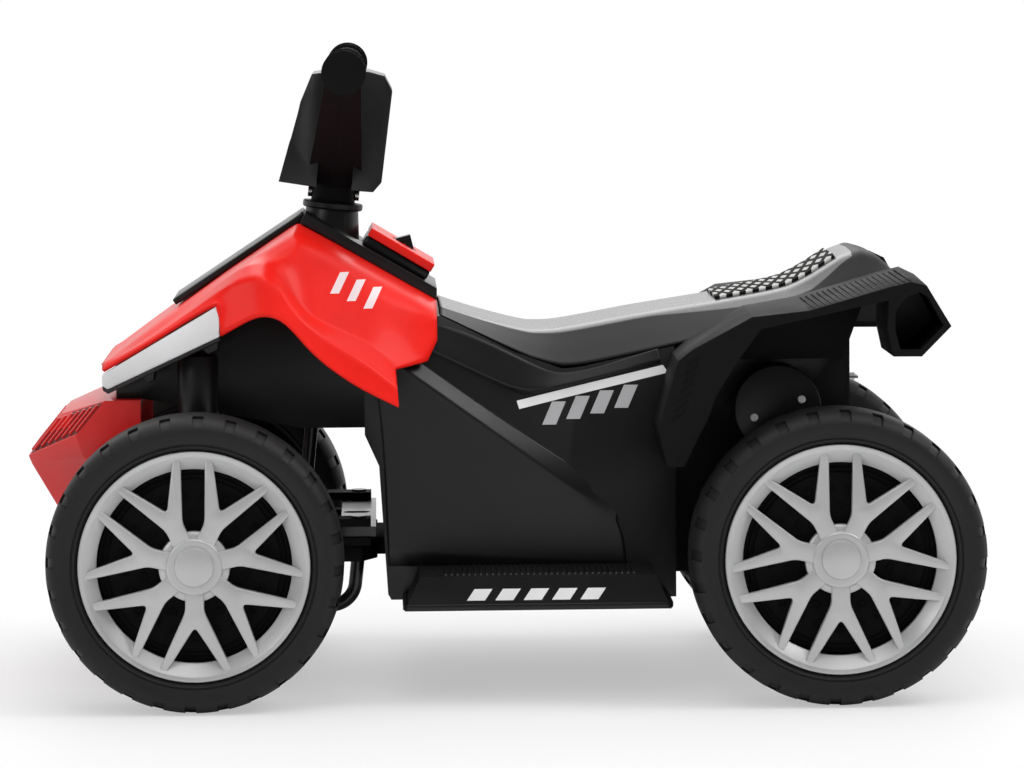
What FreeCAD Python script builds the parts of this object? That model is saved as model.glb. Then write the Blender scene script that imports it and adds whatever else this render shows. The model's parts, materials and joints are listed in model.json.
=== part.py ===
import FreeCAD, Part
import math
import os
from FreeCAD import Vector

os.makedirs("parts", exist_ok=True)

# Kids quad bike. X points forward, Y to the rider's left, Z up. Millimetres.
# The origin is on the ground, under the middle of the vehicle.

# Vehicle
overall_length = 750.0
front_overhang = 137.4   # bumper's nose, ahead of the front axle
track = 360.0
overrun = 2.0            # how far a cutting tool reaches past a face
mitre_limit_share = 0.45  # sharpest corner that an inset outline keeps
run_clearance = 0.05     # radial clearance of a shaft that turns in a bore
move_clearance = 0.4     # free gap between bodies that move past each other

# Wheels
wheel_radius = 115.0
tyre_width = 72.0
bead_radius = 89.4       # where the tyre sits on the rim
bead_inset = 6.0         # sidewall bulge beyond the bead, at each side
sidewall_radius = 106.0
shoulder_radius = 113.0
shoulder_inset = 5.0
tread_inset = 14.0
lug_count = 28
lug_gap = 9.0
lug_depth = 7.0
lug_stagger_share = 0.5
rim_wall = 4.0
rim_web_out = 16.0       # outer face of the web, from the wheel's mid-plane
rim_web_depth = 6.0
rim_hub_radius = 17.0
rim_recess_radius = 26.0
rim_recess_depth = 2.0
cover_radius = 89.2
cover_window_radius = 75.0
cover_face_out = 33.3    # outer face of the cover, from the wheel's mid-plane
cover_depth = 5.0
cover_spokes = 7
cover_hub_radius = 23.0
cover_cap_radius = 15.0
cover_cap_height = 3.0
spoke_stem_width = 13.0
spoke_leg_width = 6.3
spoke_split_radius = 36.0
spoke_leg_angle = 18.0   # degrees from the stem, where a leg meets the ring

# Axles
axle_radius = 5.0
axle_end_out = 25.0      # axle end, from the wheel's mid-plane
nut_flats = 17.0
nut_height = 6.0
washer_radius = 10.0
washer_height = 1.5

# Front axle frame and steering gear
kingpin_inset = 88.0     # from the wheel's mid-plane
kingpin_radius = 5.0
frame_low_z = 103.0
frame_depth = 13.0
beam_half_width = 12.0
wing_setback = 140.6     # wing's rear edge, behind the front axle
wing_length = 46.0
wing_over = 6.0          # wing past the kingpins
wing_chamfer = 24.0
neck_half_width = 52.0
spine_half_width = 32.0
knuckle_hub_radius = 14.0
arm_width = 23.0
arm_depth = 21.4
arm_tail = 10.0          # arm past its pin
fork_depth = 21.0        # fork ahead of the pin
pin_slot_run = 4.5
pin_setback = 125.6      # tie rod pins, behind the kingpins
pin_radius = 3.5
pin_head_radius = 6.0
pin_head_height = 1.5
lug_reach = 26.0         # outboard lug of the knuckle, from the kingpin
lug_half_length = 11.0
tie_depth = 8.0
tie_width = 28.0
tie_slot_play = 1.0      # side play of the rod's end in the tie rod
frame_slot_play = 1.8    # and in the frame's arc slot
column_rake = 6.1        # degrees, top towards the rear
column_setback = 118.9   # rake axis at grip height, behind the front axle
grip_z = 492.6
rod_radius = 5.5
crank_radius = 48.0
crank_low_z = 58.0
crank_bend = 20.0
steering_limit = 35.0    # degrees each way
rod_socket_depth = 66.0  # rod inside the handlebar neck

# Handlebar and head
grip_radius = 14.0
grip_flange_radius = 17.0
grip_flange_width = 5.0
handle_half_span = 219.4
grip_length = 96.0
neck_radius = 17.7
neck_low = -118.0        # heights along the column, from the grip axis
neck_top = -76.0
arm_low = -96.0
arm_wide = -80.0
arm_top = -8.0
arm_low_half = 9.0       # half depths of the arm, along the vehicle
arm_wide_half = 21.0
arm_top_half = 14.0
arm_in_y = 10.0          # arm centre, from the middle plane, at foot and top
arm_out_y = 112.0
arm_foot_half = 18.0     # half width of the arm across the vehicle
arm_head_half = 12.0
head_half_width = 60.0
head_nose_half_width = 48.0
head_height = 92.0
mask_depth = 32.0
console_depth = 24.0
head_wall = 3.0
bolt_radius = 2.5
bolt_head_radius = 4.5
bolt_head_height = 3.0
bolt_drop = -102.0

# Front fairing and its trims
fairing_setback = 190.1  # fairing's rear edge, behind the front axle
fairing_length = 267.5
fairing_low_z = 229.0
fairing_height = 142.0
fairing_wall = 3.0
fairing_lip_inset = 15.0   # lip, from the wheel's mid-plane
fairing_crease_inset = 50.0
fairing_shoulder_inset = 72.0
fairing_nose_inset = 85.0
fairing_top_inset = 120.0
strip_inset = 12.0       # strip's sides, from the flat top's edges
strip_depth = 5.0
cover_plate_depth = 8.0
collar_top_radius = 20.6
collar_base_radius = 25.0
collar_top_z = 383.0
collar_height = 34.0
trim_depth = 4.0
trim_rear_inset = 15.0   # trim's rear end, inside the fairing's lip
trim_recess = 40.0       # fairing cut away in front of the trim
backing_depth = 5.0
backing_drop = 4.0

# Dash
dash_half_width = 45.0
dash_lead = 51.2         # dash's front edge, ahead of the fairing's rear edge
dash_run = 50.0          # level length
dash_fall = 30.0
dash_top_z = 365.0
plinth_inset = 3.0
plinth_depth = 40.0
rocker_place_share = 0.52  # along the bezel, from its front
bezel_depth = 7.0
rocker_length = 18.0
rocker_width = 15.0
rocker_rise = 9.0
rocker_foot = 3.5
rocker_well = 6.0
rocker_pin_drop = 2.0
rocker_pin_reach = 2.0
rocker_pin_radius = 1.5

# Bumper
bumper_depth = 92.0
bumper_low_z = 140.0
bumper_height = 98.0
bumper_corner = 40.0     # width of the bumper's slanted corner
bumper_wall = 3.5

# Body
body_wall = 3.0
body_setback = 131.6     # body's front wall, behind the front axle
body_rear_gap = 6.0      # body's rear wall, ahead of the rear tyres
body_floor_z = 75.0
body_front_height = 217.0   # under the dash
body_side_gap = 26.0     # body's side, from the tyres' inner faces
body_lean = 14.0
shoulder_drop = 100.0    # height over which the side wall leans in, up to the seat
ridge_facet = 18.0       # slanted facet along the side panel's ridge
floor_plate = 4.0
step_setback = 30.0      # step's front end, behind the body's front wall
step_rear_gap = 8.0      # step's rear end, ahead of the body's rear wall
step_end_run = 12.0
step_over = 5.0          # step's edge, past the wheels' mid-planes
step_height = 27.0
rear_wall_gap = 19.0     # rear wall, behind the rear axle
rear_block_gap = 49.0    # rear block's side, from the tyre's inner face
rear_block_low_z = 92.0
rear_block_height = 190.0
tower_nose_length = 20.0   # tower's lip over the bumper's top
tower_inset = 14.0       # tower's side, inside the kingpins
tower_low_z = 208.0
tower_top_drop = 24.0    # tower top under the fairing's top line
kingpin_tube_radius = 16.0
kingpin_tube_top = 268.0

# Seat
seat_overhang = 61.0     # seat's rear end, behind the rear axle
seat_front_gap = 0.5     # seat's front end, behind the fairing
seat_low_z = 254.0
seat_height = 94.0
seat_side_inset = 1.0    # skirt, inside the body's shoulder
seat_slant = 43.0        # width of the slanted side
seat_edge_share = 0.4    # height that the slanted side still has at the skirt
seat_rest_gap = 0.3      # skirt above the body's shoulder
seat_wall = 3.5
pad_inset = 5.0          # pad's sides, from the seat's flat top
pad_depth = 3.0
pad_lead = 145.0         # pad's front edge, ahead of the seat's rear end
pad_length = 96.0

# Rear fenders
fender_overhang = 88.0   # tail's end, behind the rear axle
fender_length = 227.0
fender_low_z = 186.0
fender_height = 155.0
fender_gap = 10.0        # fender's inner side, from the rear block
fender_root_low_z = 262.0
fender_root_height = 13.0
fender_root_overhang = 12.0
fender_root_length = 124.0
fender_web = 4.0
fender_over = 10.0       # fender's outer side, past the wheels' mid-planes
fender_deck = 4.0
fender_flange = 5.0

# Gear train and gearbox in the left rear wheel well
train_lean = 20.5        # degrees from upright, towards the front
first_module = 1.25
pinion_teeth = 12
idler_big_teeth = 60
second_module = 1.5
idler_small_teeth = 16
output_teeth = 80
pressure_angle = 25.0
addendum_share = 0.9
dedendum_share = 1.2
tooth_play = 0.2
first_width = 8.0
second_width = 10.0
gear_side_gap = 3.0
gear_tip_gap = 2.0
gearbox_wall = 3.0
motor_lobe_radius = 34.0
output_boss_radius = 18.0
idler_pin_radius = 3.0
motor_radius = 17.0
motor_length = 52.0
motor_shaft_radius = 1.6
motor_nose_radius = 6.0
screw_radius = 3.2
screw_ring = 20.0        # screws round the motor's axis
screw_height = 1.6

# Battery, pedal, socket and wing screw
battery_length = 70.0
battery_width = 101.0
battery_height = 95.0
battery_place_share = 0.636734694  # battery's middle, along the body from its front wall
hatch_margin = 9.0       # opening under the seat, round the battery
strap_thickness = 2.0
strap_width = 24.0
strap_foot = 14.0
pedal_length = 70.0
pedal_width = 44.0
pedal_depth = 4.0
pedal_tilt = 12.0        # degrees, raised at its rear end at rest
pedal_setback = 36.0     # hinge, behind the step's front end
pedal_pin_radius = 3.0
pedal_side_gap = 30.0    # pedal's middle, from the body's side
pedal_lift = 4.0
pedal_ear = 5.0
pedal_barrel_radius = 6.0
socket_radius = 8.0
socket_flange = 11.0
socket_flange_height = 2.0
socket_bore_radius = 2.75
socket_depth = 14.0
socket_lead = 49.0       # ahead of the body's rear end
socket_z = 205.0
wing_screw_radius = 3.0
wing_screw_length = 14.0
wing_reach = 9.0
wing_height = 10.0
wing_thickness = 2.0
wing_screw_z = 238.0

# Derived places
wheel_y = track / 2
hub_in_y = wheel_y - tyre_width / 2
rear_axle_x = -overall_length / 2 + wheel_radius
front_axle_x = overall_length / 2 - front_overhang
bumper_rear_x = overall_length / 2 - bumper_depth
column_x = front_axle_x - column_setback
pin_x = front_axle_x - pin_setback
wing_rear_x = front_axle_x - wing_setback
fairing_rear_x = front_axle_x - fairing_setback
dash_front_x = fairing_rear_x + dash_lead
body_front_x = front_axle_x - body_setback
rear_block_x = rear_axle_x + wheel_radius + body_rear_gap
body_length = body_front_x - rear_block_x
rear_wall_x = rear_axle_x - rear_wall_gap
step_front_x = body_front_x - step_setback
step_length = step_front_x - step_rear_gap - rear_block_x
battery_x = body_front_x - battery_place_share * body_length
pedal_front_x = step_front_x - pedal_setback
socket_x = rear_block_x + socket_lead
seat_rear_x = rear_axle_x - seat_overhang
seat_length = fairing_rear_x - seat_front_gap - seat_rear_x
pad_front_x = seat_rear_x + pad_lead
fender_rear_x = rear_axle_x - fender_overhang
fender_root_rear_x = rear_axle_x - fender_root_overhang
kingpin_y = wheel_y - kingpin_inset
wing_half_span = kingpin_y + wing_over
tower_half = kingpin_y - tower_inset
fairing_lip_half = wheel_y - fairing_lip_inset
fairing_crease_half = wheel_y - fairing_crease_inset
fairing_shoulder_half = wheel_y - fairing_shoulder_inset
fairing_nose_half = wheel_y - fairing_nose_inset
fairing_top_half = wheel_y - fairing_top_inset
strip_half_width = fairing_top_half - strip_inset
trim_front_half = fairing_nose_half
trim_rear_half = fairing_lip_half - trim_rear_inset
bumper_side_half = fairing_nose_half
bumper_nose_half = bumper_side_half - bumper_corner
body_half_width = hub_in_y - body_side_gap
body_top_half = body_half_width - body_lean
step_out = wheel_y + step_over
rear_block_half = hub_in_y - rear_block_gap
seat_skirt_half = body_top_half - seat_side_inset
seat_edge_half = seat_skirt_half - seat_slant
pad_half_width = seat_edge_half - pad_inset
fender_in = rear_block_half + fender_gap
fender_out = wheel_y + fender_over
pedal_rail_y = -body_half_width - pedal_side_gap
frame_top_z = frame_low_z + frame_depth
arm_low_z = frame_top_z + move_clearance
rake = math.radians(column_rake)
column_up = Vector(-math.sin(rake), 0, math.cos(rake))
column_back = Vector(-math.cos(rake), 0, -math.sin(rake))
column_base = Vector(column_x, 0, grip_z)
left = Vector(0, 1, 0)


def place(shares, x0, length, z0, height):
    """Points of a side outline, from shares of a piece's own length and height."""
    return [(x0 + sx * length, z0 + sz * height) for sx, sz in shares]


def side_wire(points, y):
    corners = [Vector(x, y, z) for x, z in points]
    return Part.makePolygon(corners + corners[:1])


def side_prism(points, y0, y1):
    face = Part.Face(side_wire(points, y0))
    return face.extrude(Vector(0, y1 - y0, 0))


def plan_prism(points, z0, z1):
    corners = [Vector(x, y, z0) for x, y in points]
    face = Part.Face(Part.makePolygon(corners + corners[:1]))
    return face.extrude(Vector(0, 0, z1 - z0))


def layered(stations):
    """Solid through side outlines, each at its own distance from the middle plane."""
    return Part.makeLoft([side_wire(points, y) for y, points in stations], True, True)


def mirrored(shape):
    return shape.mirror(Vector(0, 0, 0), Vector(0, 1, 0))


def both_sides(shape):
    return shape.fuse(mirrored(shape)).removeSplitter()


def joined(shapes):
    return shapes[0].fuse(shapes[1:]).removeSplitter()


def box(x0, y0, z0, x1, y1, z1):
    return Part.makeBox(x1 - x0, y1 - y0, z1 - z0, Vector(x0, y0, z0))


def rod_y(radius, x, z, y0, y1):
    return Part.makeCylinder(radius, y1 - y0, Vector(x, y0, z), left)


def rod_z(radius, x, y, z0, z1):
    return Part.makeCylinder(radius, z1 - z0, Vector(x, y, z0))


def inset(points, distance):
    """Outline moved inwards by one distance, with sharp corners."""
    count = len(points)
    area = sum(points[i][0] * points[(i + 1) % count][1] - points[(i + 1) % count][0] * points[i][1]
               for i in range(count))
    turn = 1 if area > 0 else -1
    moved = []
    for i in range(count):
        before = Vector(*points[i - 1], 0)
        here = Vector(*points[i], 0)
        after = Vector(*points[(i + 1) % count], 0)
        first = (here - before).normalize()
        second = (after - here).normalize()
        first_in = Vector(-first.y, first.x, 0) * turn
        second_in = Vector(-second.y, second.x, 0) * turn
        mitre = (first_in + second_in).normalize()
        corner = here + mitre * (distance / max(mitre.dot(first_in), mitre_limit_share))
        moved.append((corner.x, corner.y))
    return moved


def on_column(height, back=0.0, y=0.0):
    """Point in the column's own directions, from the grip axis."""
    return column_base + column_up * height + column_back * back + left * y


def save(shape, name):
    shape.exportStep("parts/" + name + ".step")


# Side outlines, as shares of each piece's length (from its rear) and height.
fairing_top_shares = [(0.993, 0.173), (1.0, 0.225), (0.895, 0.372), (0.78, 0.535), (0.712, 0.619),
                      (0.637, 0.712), (0.574, 0.791), (0.514, 0.865), (0.458, 0.934), (0.405, 1.0),
                      (0.353, 0.943), (0.286, 0.87), (0.211, 0.788), (0.136, 0.706), (0.058, 0.62),
                      (0.0, 0.556), (0.0, 0.42), (0.12, 0.25), (0.5, 0.45)]
fairing_nose_shares = [(0.993, 0.173), (1.0, 0.2), (0.895, 0.357), (0.76, 0.56), (0.705, 0.621),
                       (0.649, 0.682), (0.596, 0.739), (0.54, 0.8), (0.488, 0.858), (0.44, 0.91),
                       (0.376, 0.85), (0.305, 0.789), (0.226, 0.721), (0.144, 0.65), (0.062, 0.575),
                       (0.0, 0.52), (0.0, 0.36), (0.12, 0.23), (0.5, 0.48)]
fairing_shoulder_shares = [(0.909, 0.265), (0.915, 0.3), (0.84, 0.415), (0.745, 0.559), (0.698, 0.618),
                           (0.65, 0.677), (0.603, 0.731), (0.554, 0.786), (0.505, 0.838), (0.459, 0.87),
                           (0.4, 0.815), (0.328, 0.745), (0.254, 0.68), (0.168, 0.612), (0.072, 0.542),
                           (0.0, 0.488), (0.008, 0.33), (0.12, 0.2), (0.5, 0.487)]
fairing_crease_shares = [(0.766, 0.42), (0.77, 0.47), (0.746, 0.514), (0.72, 0.556), (0.686, 0.613),
                         (0.652, 0.669), (0.615, 0.718), (0.578, 0.761), (0.533, 0.799), (0.492, 0.782),
                         (0.454, 0.718), (0.413, 0.585), (0.368, 0.496), (0.293, 0.465), (0.189, 0.38),
                         (0.084, 0.246), (0.09, 0.2), (0.12, 0.15), (0.5, 0.5)]
fairing_lip_shares = [(0.62, 0.42), (0.634, 0.542), (0.63, 0.585), (0.622, 0.627), (0.615, 0.662), (0.6, 0.69),
                      (0.581, 0.715), (0.559, 0.732), (0.533, 0.739), (0.503, 0.732), (0.473, 0.697),
                      (0.424, 0.563), (0.383, 0.472), (0.308, 0.373), (0.215, 0.261), (0.129, 0.127),
                      (0.123, 0.08), (0.118, 0.0), (0.5, 0.53)]
fairing_low_corners = (0, 16, 17, 18)
arch_shares = [(0.118, 0.0), (0.286, 0.258), (0.372, 0.423), (0.445, 0.518), (0.503, 0.53),
               (0.574, 0.482), (0.637, 0.41), (0.7, -0.4), (0.118, -0.4)]
trim_front_shares = [(0.993, 0.077), (0.993, 0.173)]
trim_rear_shares = [(0.637, 0.41), (0.637, 0.585)]
bonnet_strip_shares = [(0.78, 0.535), (0.405, 1.0)]
top_cover_shares = [(0.405, 1.0), (0.0, 0.556)]
body_front_shares = [(0.0, 0.0), (0.92, 0.0), (0.93, 0.02), (0.955, 0.49), (1.0, 0.604)]
ridge_shares = [(0.282, 0.336), (0.963, 0.853), (1.2, 0.853), (1.2, -0.1), (0.282, -0.1)]
seat_top_shares = [(0.995, 0.543), (0.821, 0.319), (0.736, 0.346), (0.573, 0.463), (0.402, 0.574), (0.261, 0.681),
                   (0.212, 0.745), (0.139, 0.968), (0.065, 0.968), (0.014, 0.84), (0.0, 0.745)]
seat_skirt_shares = [(0.0, 0.65), (0.114, 0.52), (0.413, 0.272), (0.698, 0.032), (0.736, 0.021), (0.841, 0.17),
                     (0.995, 0.477)]
fender_top_shares = [(1.0, 0.187), (0.93, 0.53), (0.881, 0.587), (0.799, 0.677), (0.68, 0.81), (0.485, 0.858),
                     (0.214, 0.974), (0.139, 1.0), (0.084, 0.935), (0.0, 0.69), (0.101, 0.54), (0.198, 0.541),
                     (0.217, 0.669)]
fender_low_shares = [(0.214, 0.822), (0.65, 0.684), (0.736, 0.51), (0.802, 0.355), (0.833, 0.232),
                     (0.863, 0.148), (0.912, 0.0), (0.97, 0.0)]
mask_front_shares = [(0.0, 0.0), (1.0, 0.06), (0.8, 0.4), (0.69, 0.45), (0.43, 0.66), (0.39, 0.76), (0.1, 1.0),
                     (0.0, 1.0)]
console_rear_shares = [(0.0, 0.0), (0.73, 0.0), (0.98, 0.09), (1.0, 0.8), (0.77, 0.94), (0.29, 1.0), (0.0, 1.0)]
bumper_side_shares = [(0.0, 0.95), (0.22, 0.95), (0.31, 0.95), (0.56, 0.67), (0.5, 0.5), (0.22, 0.3), (0.0, 0.4)]
bumper_nose_shares = [(0.0, 0.95), (0.33, 0.95), (0.71, 0.81), (1.0, 0.47), (0.97, 0.4), (0.76, 0.06), (0.3, 0.0)]


def tyre():
    half = tyre_width / 2
    profile = [(bead_radius, bead_inset - half), (sidewall_radius, -half), (shoulder_radius, shoulder_inset - half),
               (wheel_radius, tread_inset - half)]
    profile += [(r, -y) for r, y in reversed(profile)]
    corners = [Vector(r, y, 0) for r, y in profile]
    body = Part.Face(Part.makePolygon(corners + corners[:1])).revolve(Vector(0, 0, 0), left, 360)
    gap = box(wheel_radius - lug_depth, half - tread_inset, -lug_gap / 2, wheel_radius + overrun, half + overrun,
              lug_gap / 2)
    gaps = []
    for i in range(lug_count):
        turned = gap.copy()
        turned.rotate(Vector(0, 0, 0), left, 360 * i / lug_count)
        opposite = mirrored(gap)
        opposite.rotate(Vector(0, 0, 0), left, 360 * (i + lug_stagger_share) / lug_count)
        gaps += [turned, opposite]
    return body.cut(gaps)


def rim():
    half = tyre_width / 2
    edge = cover_face_out - cover_depth
    barrel = rod_y(bead_radius, 0, 0, bead_inset - half, edge)
    barrel = barrel.cut(rod_y(bead_radius - rim_wall, 0, 0, -half, edge + overrun))
    web = rod_y(bead_radius - rim_wall, 0, 0, rim_web_out - rim_web_depth, rim_web_out)
    hub = rod_y(rim_hub_radius, 0, 0, -half, rim_web_out)
    recess = rod_y(rim_recess_radius, 0, 0, rim_web_out - rim_recess_depth, rim_web_out + overrun)
    bore = rod_y(axle_radius + run_clearance, 0, 0, -half - overrun, half)
    return joined([barrel, web, hub]).cut([recess, bore])


def wheel_cover():
    back = cover_face_out - cover_depth
    ring = rod_y(cover_radius, 0, 0, back, cover_face_out)
    ring = ring.cut(rod_y(cover_window_radius, 0, 0, back - overrun, cover_face_out + overrun))
    pieces = [ring, rod_y(cover_hub_radius, 0, 0, back, cover_face_out),
              rod_y(cover_cap_radius, 0, 0, cover_face_out, cover_face_out + cover_cap_height)]
    reach = (cover_radius + cover_window_radius) / 2
    spread = math.radians(spoke_leg_angle)
    for i in range(cover_spokes):
        turn = -90 + 360 * i / cover_spokes
        stem = box(0, back, -spoke_stem_width / 2, spoke_split_radius + spoke_leg_width, cover_face_out,
                   spoke_stem_width / 2)
        arms = [stem]
        for side in (-1, 1):
            foot = (spoke_split_radius, side * (spoke_stem_width - spoke_leg_width) / 2)
            tip = (reach * math.cos(spread), side * reach * math.sin(spread))
            along = Vector(tip[0] - foot[0], tip[1] - foot[1], 0).normalize()
            off_x = -along.y * spoke_leg_width / 2
            off_z = along.x * spoke_leg_width / 2
            leg = [(foot[0] + off_x, foot[1] + off_z), (tip[0] + off_x, tip[1] + off_z),
                   (tip[0] - off_x, tip[1] - off_z), (foot[0] - off_x, foot[1] - off_z)]
            arms.append(side_prism(leg, back, cover_face_out))
        for arm in arms:
            arm.rotate(Vector(0, 0, 0), left, -turn)
        pieces += arms
    return joined(pieces)


def nut_stack(outward):
    """Washer and hexagon nut on an axle end, seated on the rim's hub recess."""
    seat = rim_web_out - rim_recess_depth + move_clearance / 2
    washer = rod_y(washer_radius, 0, 0, seat, seat + washer_height)
    flat = nut_flats / math.sqrt(3)
    hexagon = [(flat * math.cos(math.radians(60 * i)), flat * math.sin(math.radians(60 * i))) for i in range(6)]
    nut = side_prism(hexagon, seat + washer_height, seat + washer_height + nut_height)
    stack = washer.fuse(nut).cut(rod_y(axle_radius, 0, 0, seat - overrun, cover_face_out))
    return stack if outward > 0 else mirrored(stack)


def moved(shape, x, y, z):
    copy = shape.copy()
    copy.translate(Vector(x, y, z))
    return copy


def wheels():
    pieces = {"tyre": tyre(), "rim": rim(), "wheel_cover": wheel_cover()}
    corners = {"front_left": (front_axle_x, 1), "front_right": (front_axle_x, -1),
               "rear_left": (rear_axle_x, 1), "rear_right": (rear_axle_x, -1)}
    for corner, (x, side) in corners.items():
        for piece, shape in pieces.items():
            handed = shape if side > 0 else mirrored(shape)
            save(moved(handed, x, side * wheel_y, wheel_radius), piece + "_" + corner)


def rear_axle():
    end = wheel_y + axle_end_out
    save(rod_y(axle_radius, rear_axle_x, wheel_radius, -end, end), "rear_axle")
    nuts = [moved(nut_stack(side), rear_axle_x, side * wheel_y, wheel_radius) for side in (1, -1)]
    save(Part.Compound(nuts), "rear_axle_nuts")


def front_axle_frame(body_block):
    """Plate with a beam under the kingpins and a wing under the steering arms."""
    wing_front = wing_rear_x + wing_length
    edge = rear_block_x + body_front_shares[1][0] * body_length
    beam = box(front_axle_x - beam_half_width, -kingpin_y, frame_low_z, front_axle_x + beam_half_width, kingpin_y,
               frame_top_z)
    ends = [rod_z(beam_half_width, front_axle_x, side * kingpin_y, frame_low_z, frame_top_z) for side in (1, -1)]
    spine = box(wing_front - overrun, -spine_half_width, frame_low_z, front_axle_x, spine_half_width, frame_top_z)
    half = [(wing_front, wing_half_span), (wing_rear_x + wing_chamfer / 2, wing_half_span),
            (wing_rear_x, wing_half_span - wing_chamfer), (wing_rear_x, neck_half_width), (edge, neck_half_width)]
    wing = plan_prism(half + [(x, -y) for x, y in reversed(half)], frame_low_z, frame_top_z)
    plate = joined([beam, spine, wing] + ends)
    pins = [rod_z(kingpin_radius, front_axle_x, side * kingpin_y, frame_low_z, kingpin_tube_top) for side in (1, -1)]
    span = (grip_z - frame_low_z) / math.cos(rake) + frame_depth
    bearing = Part.makeCylinder(rod_radius + run_clearance, span, on_column(-span), column_up)
    sweep = math.radians(steering_limit)
    slot_radius = rod_radius + frame_slot_play
    centre_x = on_column(-(grip_z - frame_low_z - frame_depth / 2) / math.cos(rake)).x
    low = frame_low_z - overrun
    high = frame_top_z + overrun
    slot = rod_z(crank_radius + slot_radius, centre_x, 0, low, high)
    slot = slot.cut(rod_z(crank_radius - slot_radius, centre_x, 0, low, high))
    reach = crank_radius + 2 * slot_radius
    spread = math.tan(sweep) * reach + slot_radius / math.cos(sweep)
    wedge = plan_prism([(centre_x, -slot_radius), (centre_x - reach, -spread), (centre_x - reach, spread),
                        (centre_x, slot_radius)], low, high)
    return plate.cut(pins + [bearing, slot.common(wedge), body_block]), Part.Compound(pins)


def knuckle():
    """Left steering knuckle: sleeve on the kingpin, long rear arm with a fork, outboard lug for the axle."""
    arm_top_z = arm_low_z + arm_depth
    sleeve = rod_z(knuckle_hub_radius, front_axle_x, kingpin_y, arm_low_z, tower_low_z - move_clearance)
    arm = box(pin_x - arm_tail, kingpin_y - arm_width / 2, arm_low_z, front_axle_x, kingpin_y + arm_width / 2,
              arm_top_z)
    lug_in = kingpin_y + beam_half_width + move_clearance
    lug = box(front_axle_x - lug_half_length, lug_in, wheel_radius - 2 * axle_radius, front_axle_x + lug_half_length,
              kingpin_y + lug_reach, arm_top_z)
    bridge = box(front_axle_x - lug_half_length, kingpin_y, arm_low_z, front_axle_x + lug_half_length, lug_in,
                 arm_top_z)
    whole = joined([sleeve, arm, lug, bridge])
    bore = rod_z(kingpin_radius + run_clearance, front_axle_x, kingpin_y, frame_low_z, tower_low_z)
    tie_mid_z = arm_low_z + arm_depth / 2
    slot_half = tie_depth / 2 + move_clearance
    fork = box(pin_x - 2 * arm_tail, kingpin_y - arm_width, tie_mid_z - slot_half, pin_x + fork_depth,
               kingpin_y + arm_width, tie_mid_z + slot_half)
    pin = rod_z(pin_radius, pin_x, kingpin_y, arm_low_z, arm_top_z)
    head = rod_z(pin_head_radius, pin_x, kingpin_y, arm_top_z, arm_top_z + pin_head_height)
    axle = rod_y(axle_radius, front_axle_x, wheel_radius, lug_in, wheel_y + axle_end_out)
    spacer = rod_y(rim_hub_radius, front_axle_x, wheel_radius, kingpin_y + lug_reach, hub_in_y - move_clearance)
    whole = whole.fuse(spacer).cut([bore, fork, pin, axle])
    return whole, pin.fuse(head).removeSplitter(), axle


def tie_rod():
    mid_z = arm_low_z + arm_depth / 2
    reach = kingpin_y + pin_head_radius
    bar = box(pin_x - tie_width / 2, -reach, mid_z - tie_depth / 2, pin_x + tie_width / 2, reach, mid_z + tie_depth / 2)
    column_height = (grip_z - mid_z) / math.cos(rake)
    crank_x = on_column(-column_height).x - crank_radius / math.cos(rake)
    holes = []
    for y, x, radius, run in ((kingpin_y, pin_x, pin_radius, pin_slot_run),
                              (-kingpin_y, pin_x, pin_radius, pin_slot_run),
                              (0, crank_x, rod_radius, crank_radius * (1 - math.cos(math.radians(steering_limit))))):
        play = radius + tie_slot_play
        low = mid_z - tie_depth
        high = mid_z + tie_depth
        holes += [rod_z(play, x, y, low, high), rod_z(play, x + run, y, low, high),
                  box(x, y - play, low, x + run, y + play, high)]
    return bar.cut(joined(holes[:3])).cut(joined(holes[3:6])).cut(joined(holes[6:]))


def steering_rod():
    """Round rod: down the column, back under the axle frame, up into the tie rod."""
    low = -(grip_z - crank_low_z) / math.cos(rake)
    mid_z = arm_low_z + arm_depth / 2
    top = on_column(neck_low + rod_socket_depth)
    end = low + (mid_z + tie_depth / 2 - crank_low_z) / math.cos(rake)
    diagonal = crank_bend * (1 - math.sqrt(0.5))
    points = [top, on_column(low + crank_bend),
              on_column(low + diagonal, diagonal), on_column(low, crank_bend),
              on_column(low, crank_radius - crank_bend), on_column(low + diagonal, crank_radius - diagonal),
              on_column(low + crank_bend, crank_radius), on_column(end, crank_radius)]
    edges = [Part.LineSegment(points[0], points[1]).toShape(), Part.Arc(*points[1:4]).toShape(),
             Part.LineSegment(points[3], points[4]).toShape(), Part.Arc(*points[4:7]).toShape(),
             Part.LineSegment(points[6], points[7]).toShape()]
    section = Part.Wire([Part.makeCircle(rod_radius, top, column_up)])
    return Part.Wire(edges).makePipeShell([section], True, False)


def handlebar():
    """Both half shells as one solid, before the split along the column."""
    neck = Part.makeCylinder(neck_radius, neck_top - neck_low, on_column(neck_low), column_up)
    halves = [neck]
    grip_in = handle_half_span - grip_length
    for side in (1, -1):
        sections = []
        for height, depth, y, half in ((arm_low, arm_low_half, arm_in_y, arm_foot_half),
                                       (arm_wide, arm_wide_half, (2 * arm_in_y + arm_foot_half), arm_foot_half),
                                       (arm_top, arm_top_half, arm_out_y, arm_head_half)):
            corners = [on_column(height, sb * depth, side * (y + sy * half))
                       for sb, sy in ((-1, -1), (1, -1), (1, 1), (-1, 1))]
            sections.append(Part.makePolygon(corners + corners[:1]))
        halves.append(Part.makeLoft(sections, True, True))
        start = min(side * (arm_out_y - arm_head_half), side * handle_half_span)
        halves.append(rod_y(grip_radius, column_x, grip_z, start, start + handle_half_span - arm_out_y + arm_head_half))
        for inner in (grip_in, handle_half_span - grip_flange_width):
            low = min(side * inner, side * (inner + grip_flange_width))
            halves.append(rod_y(grip_flange_radius, column_x, grip_z, low, low + grip_flange_width))
    return joined(halves)


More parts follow.
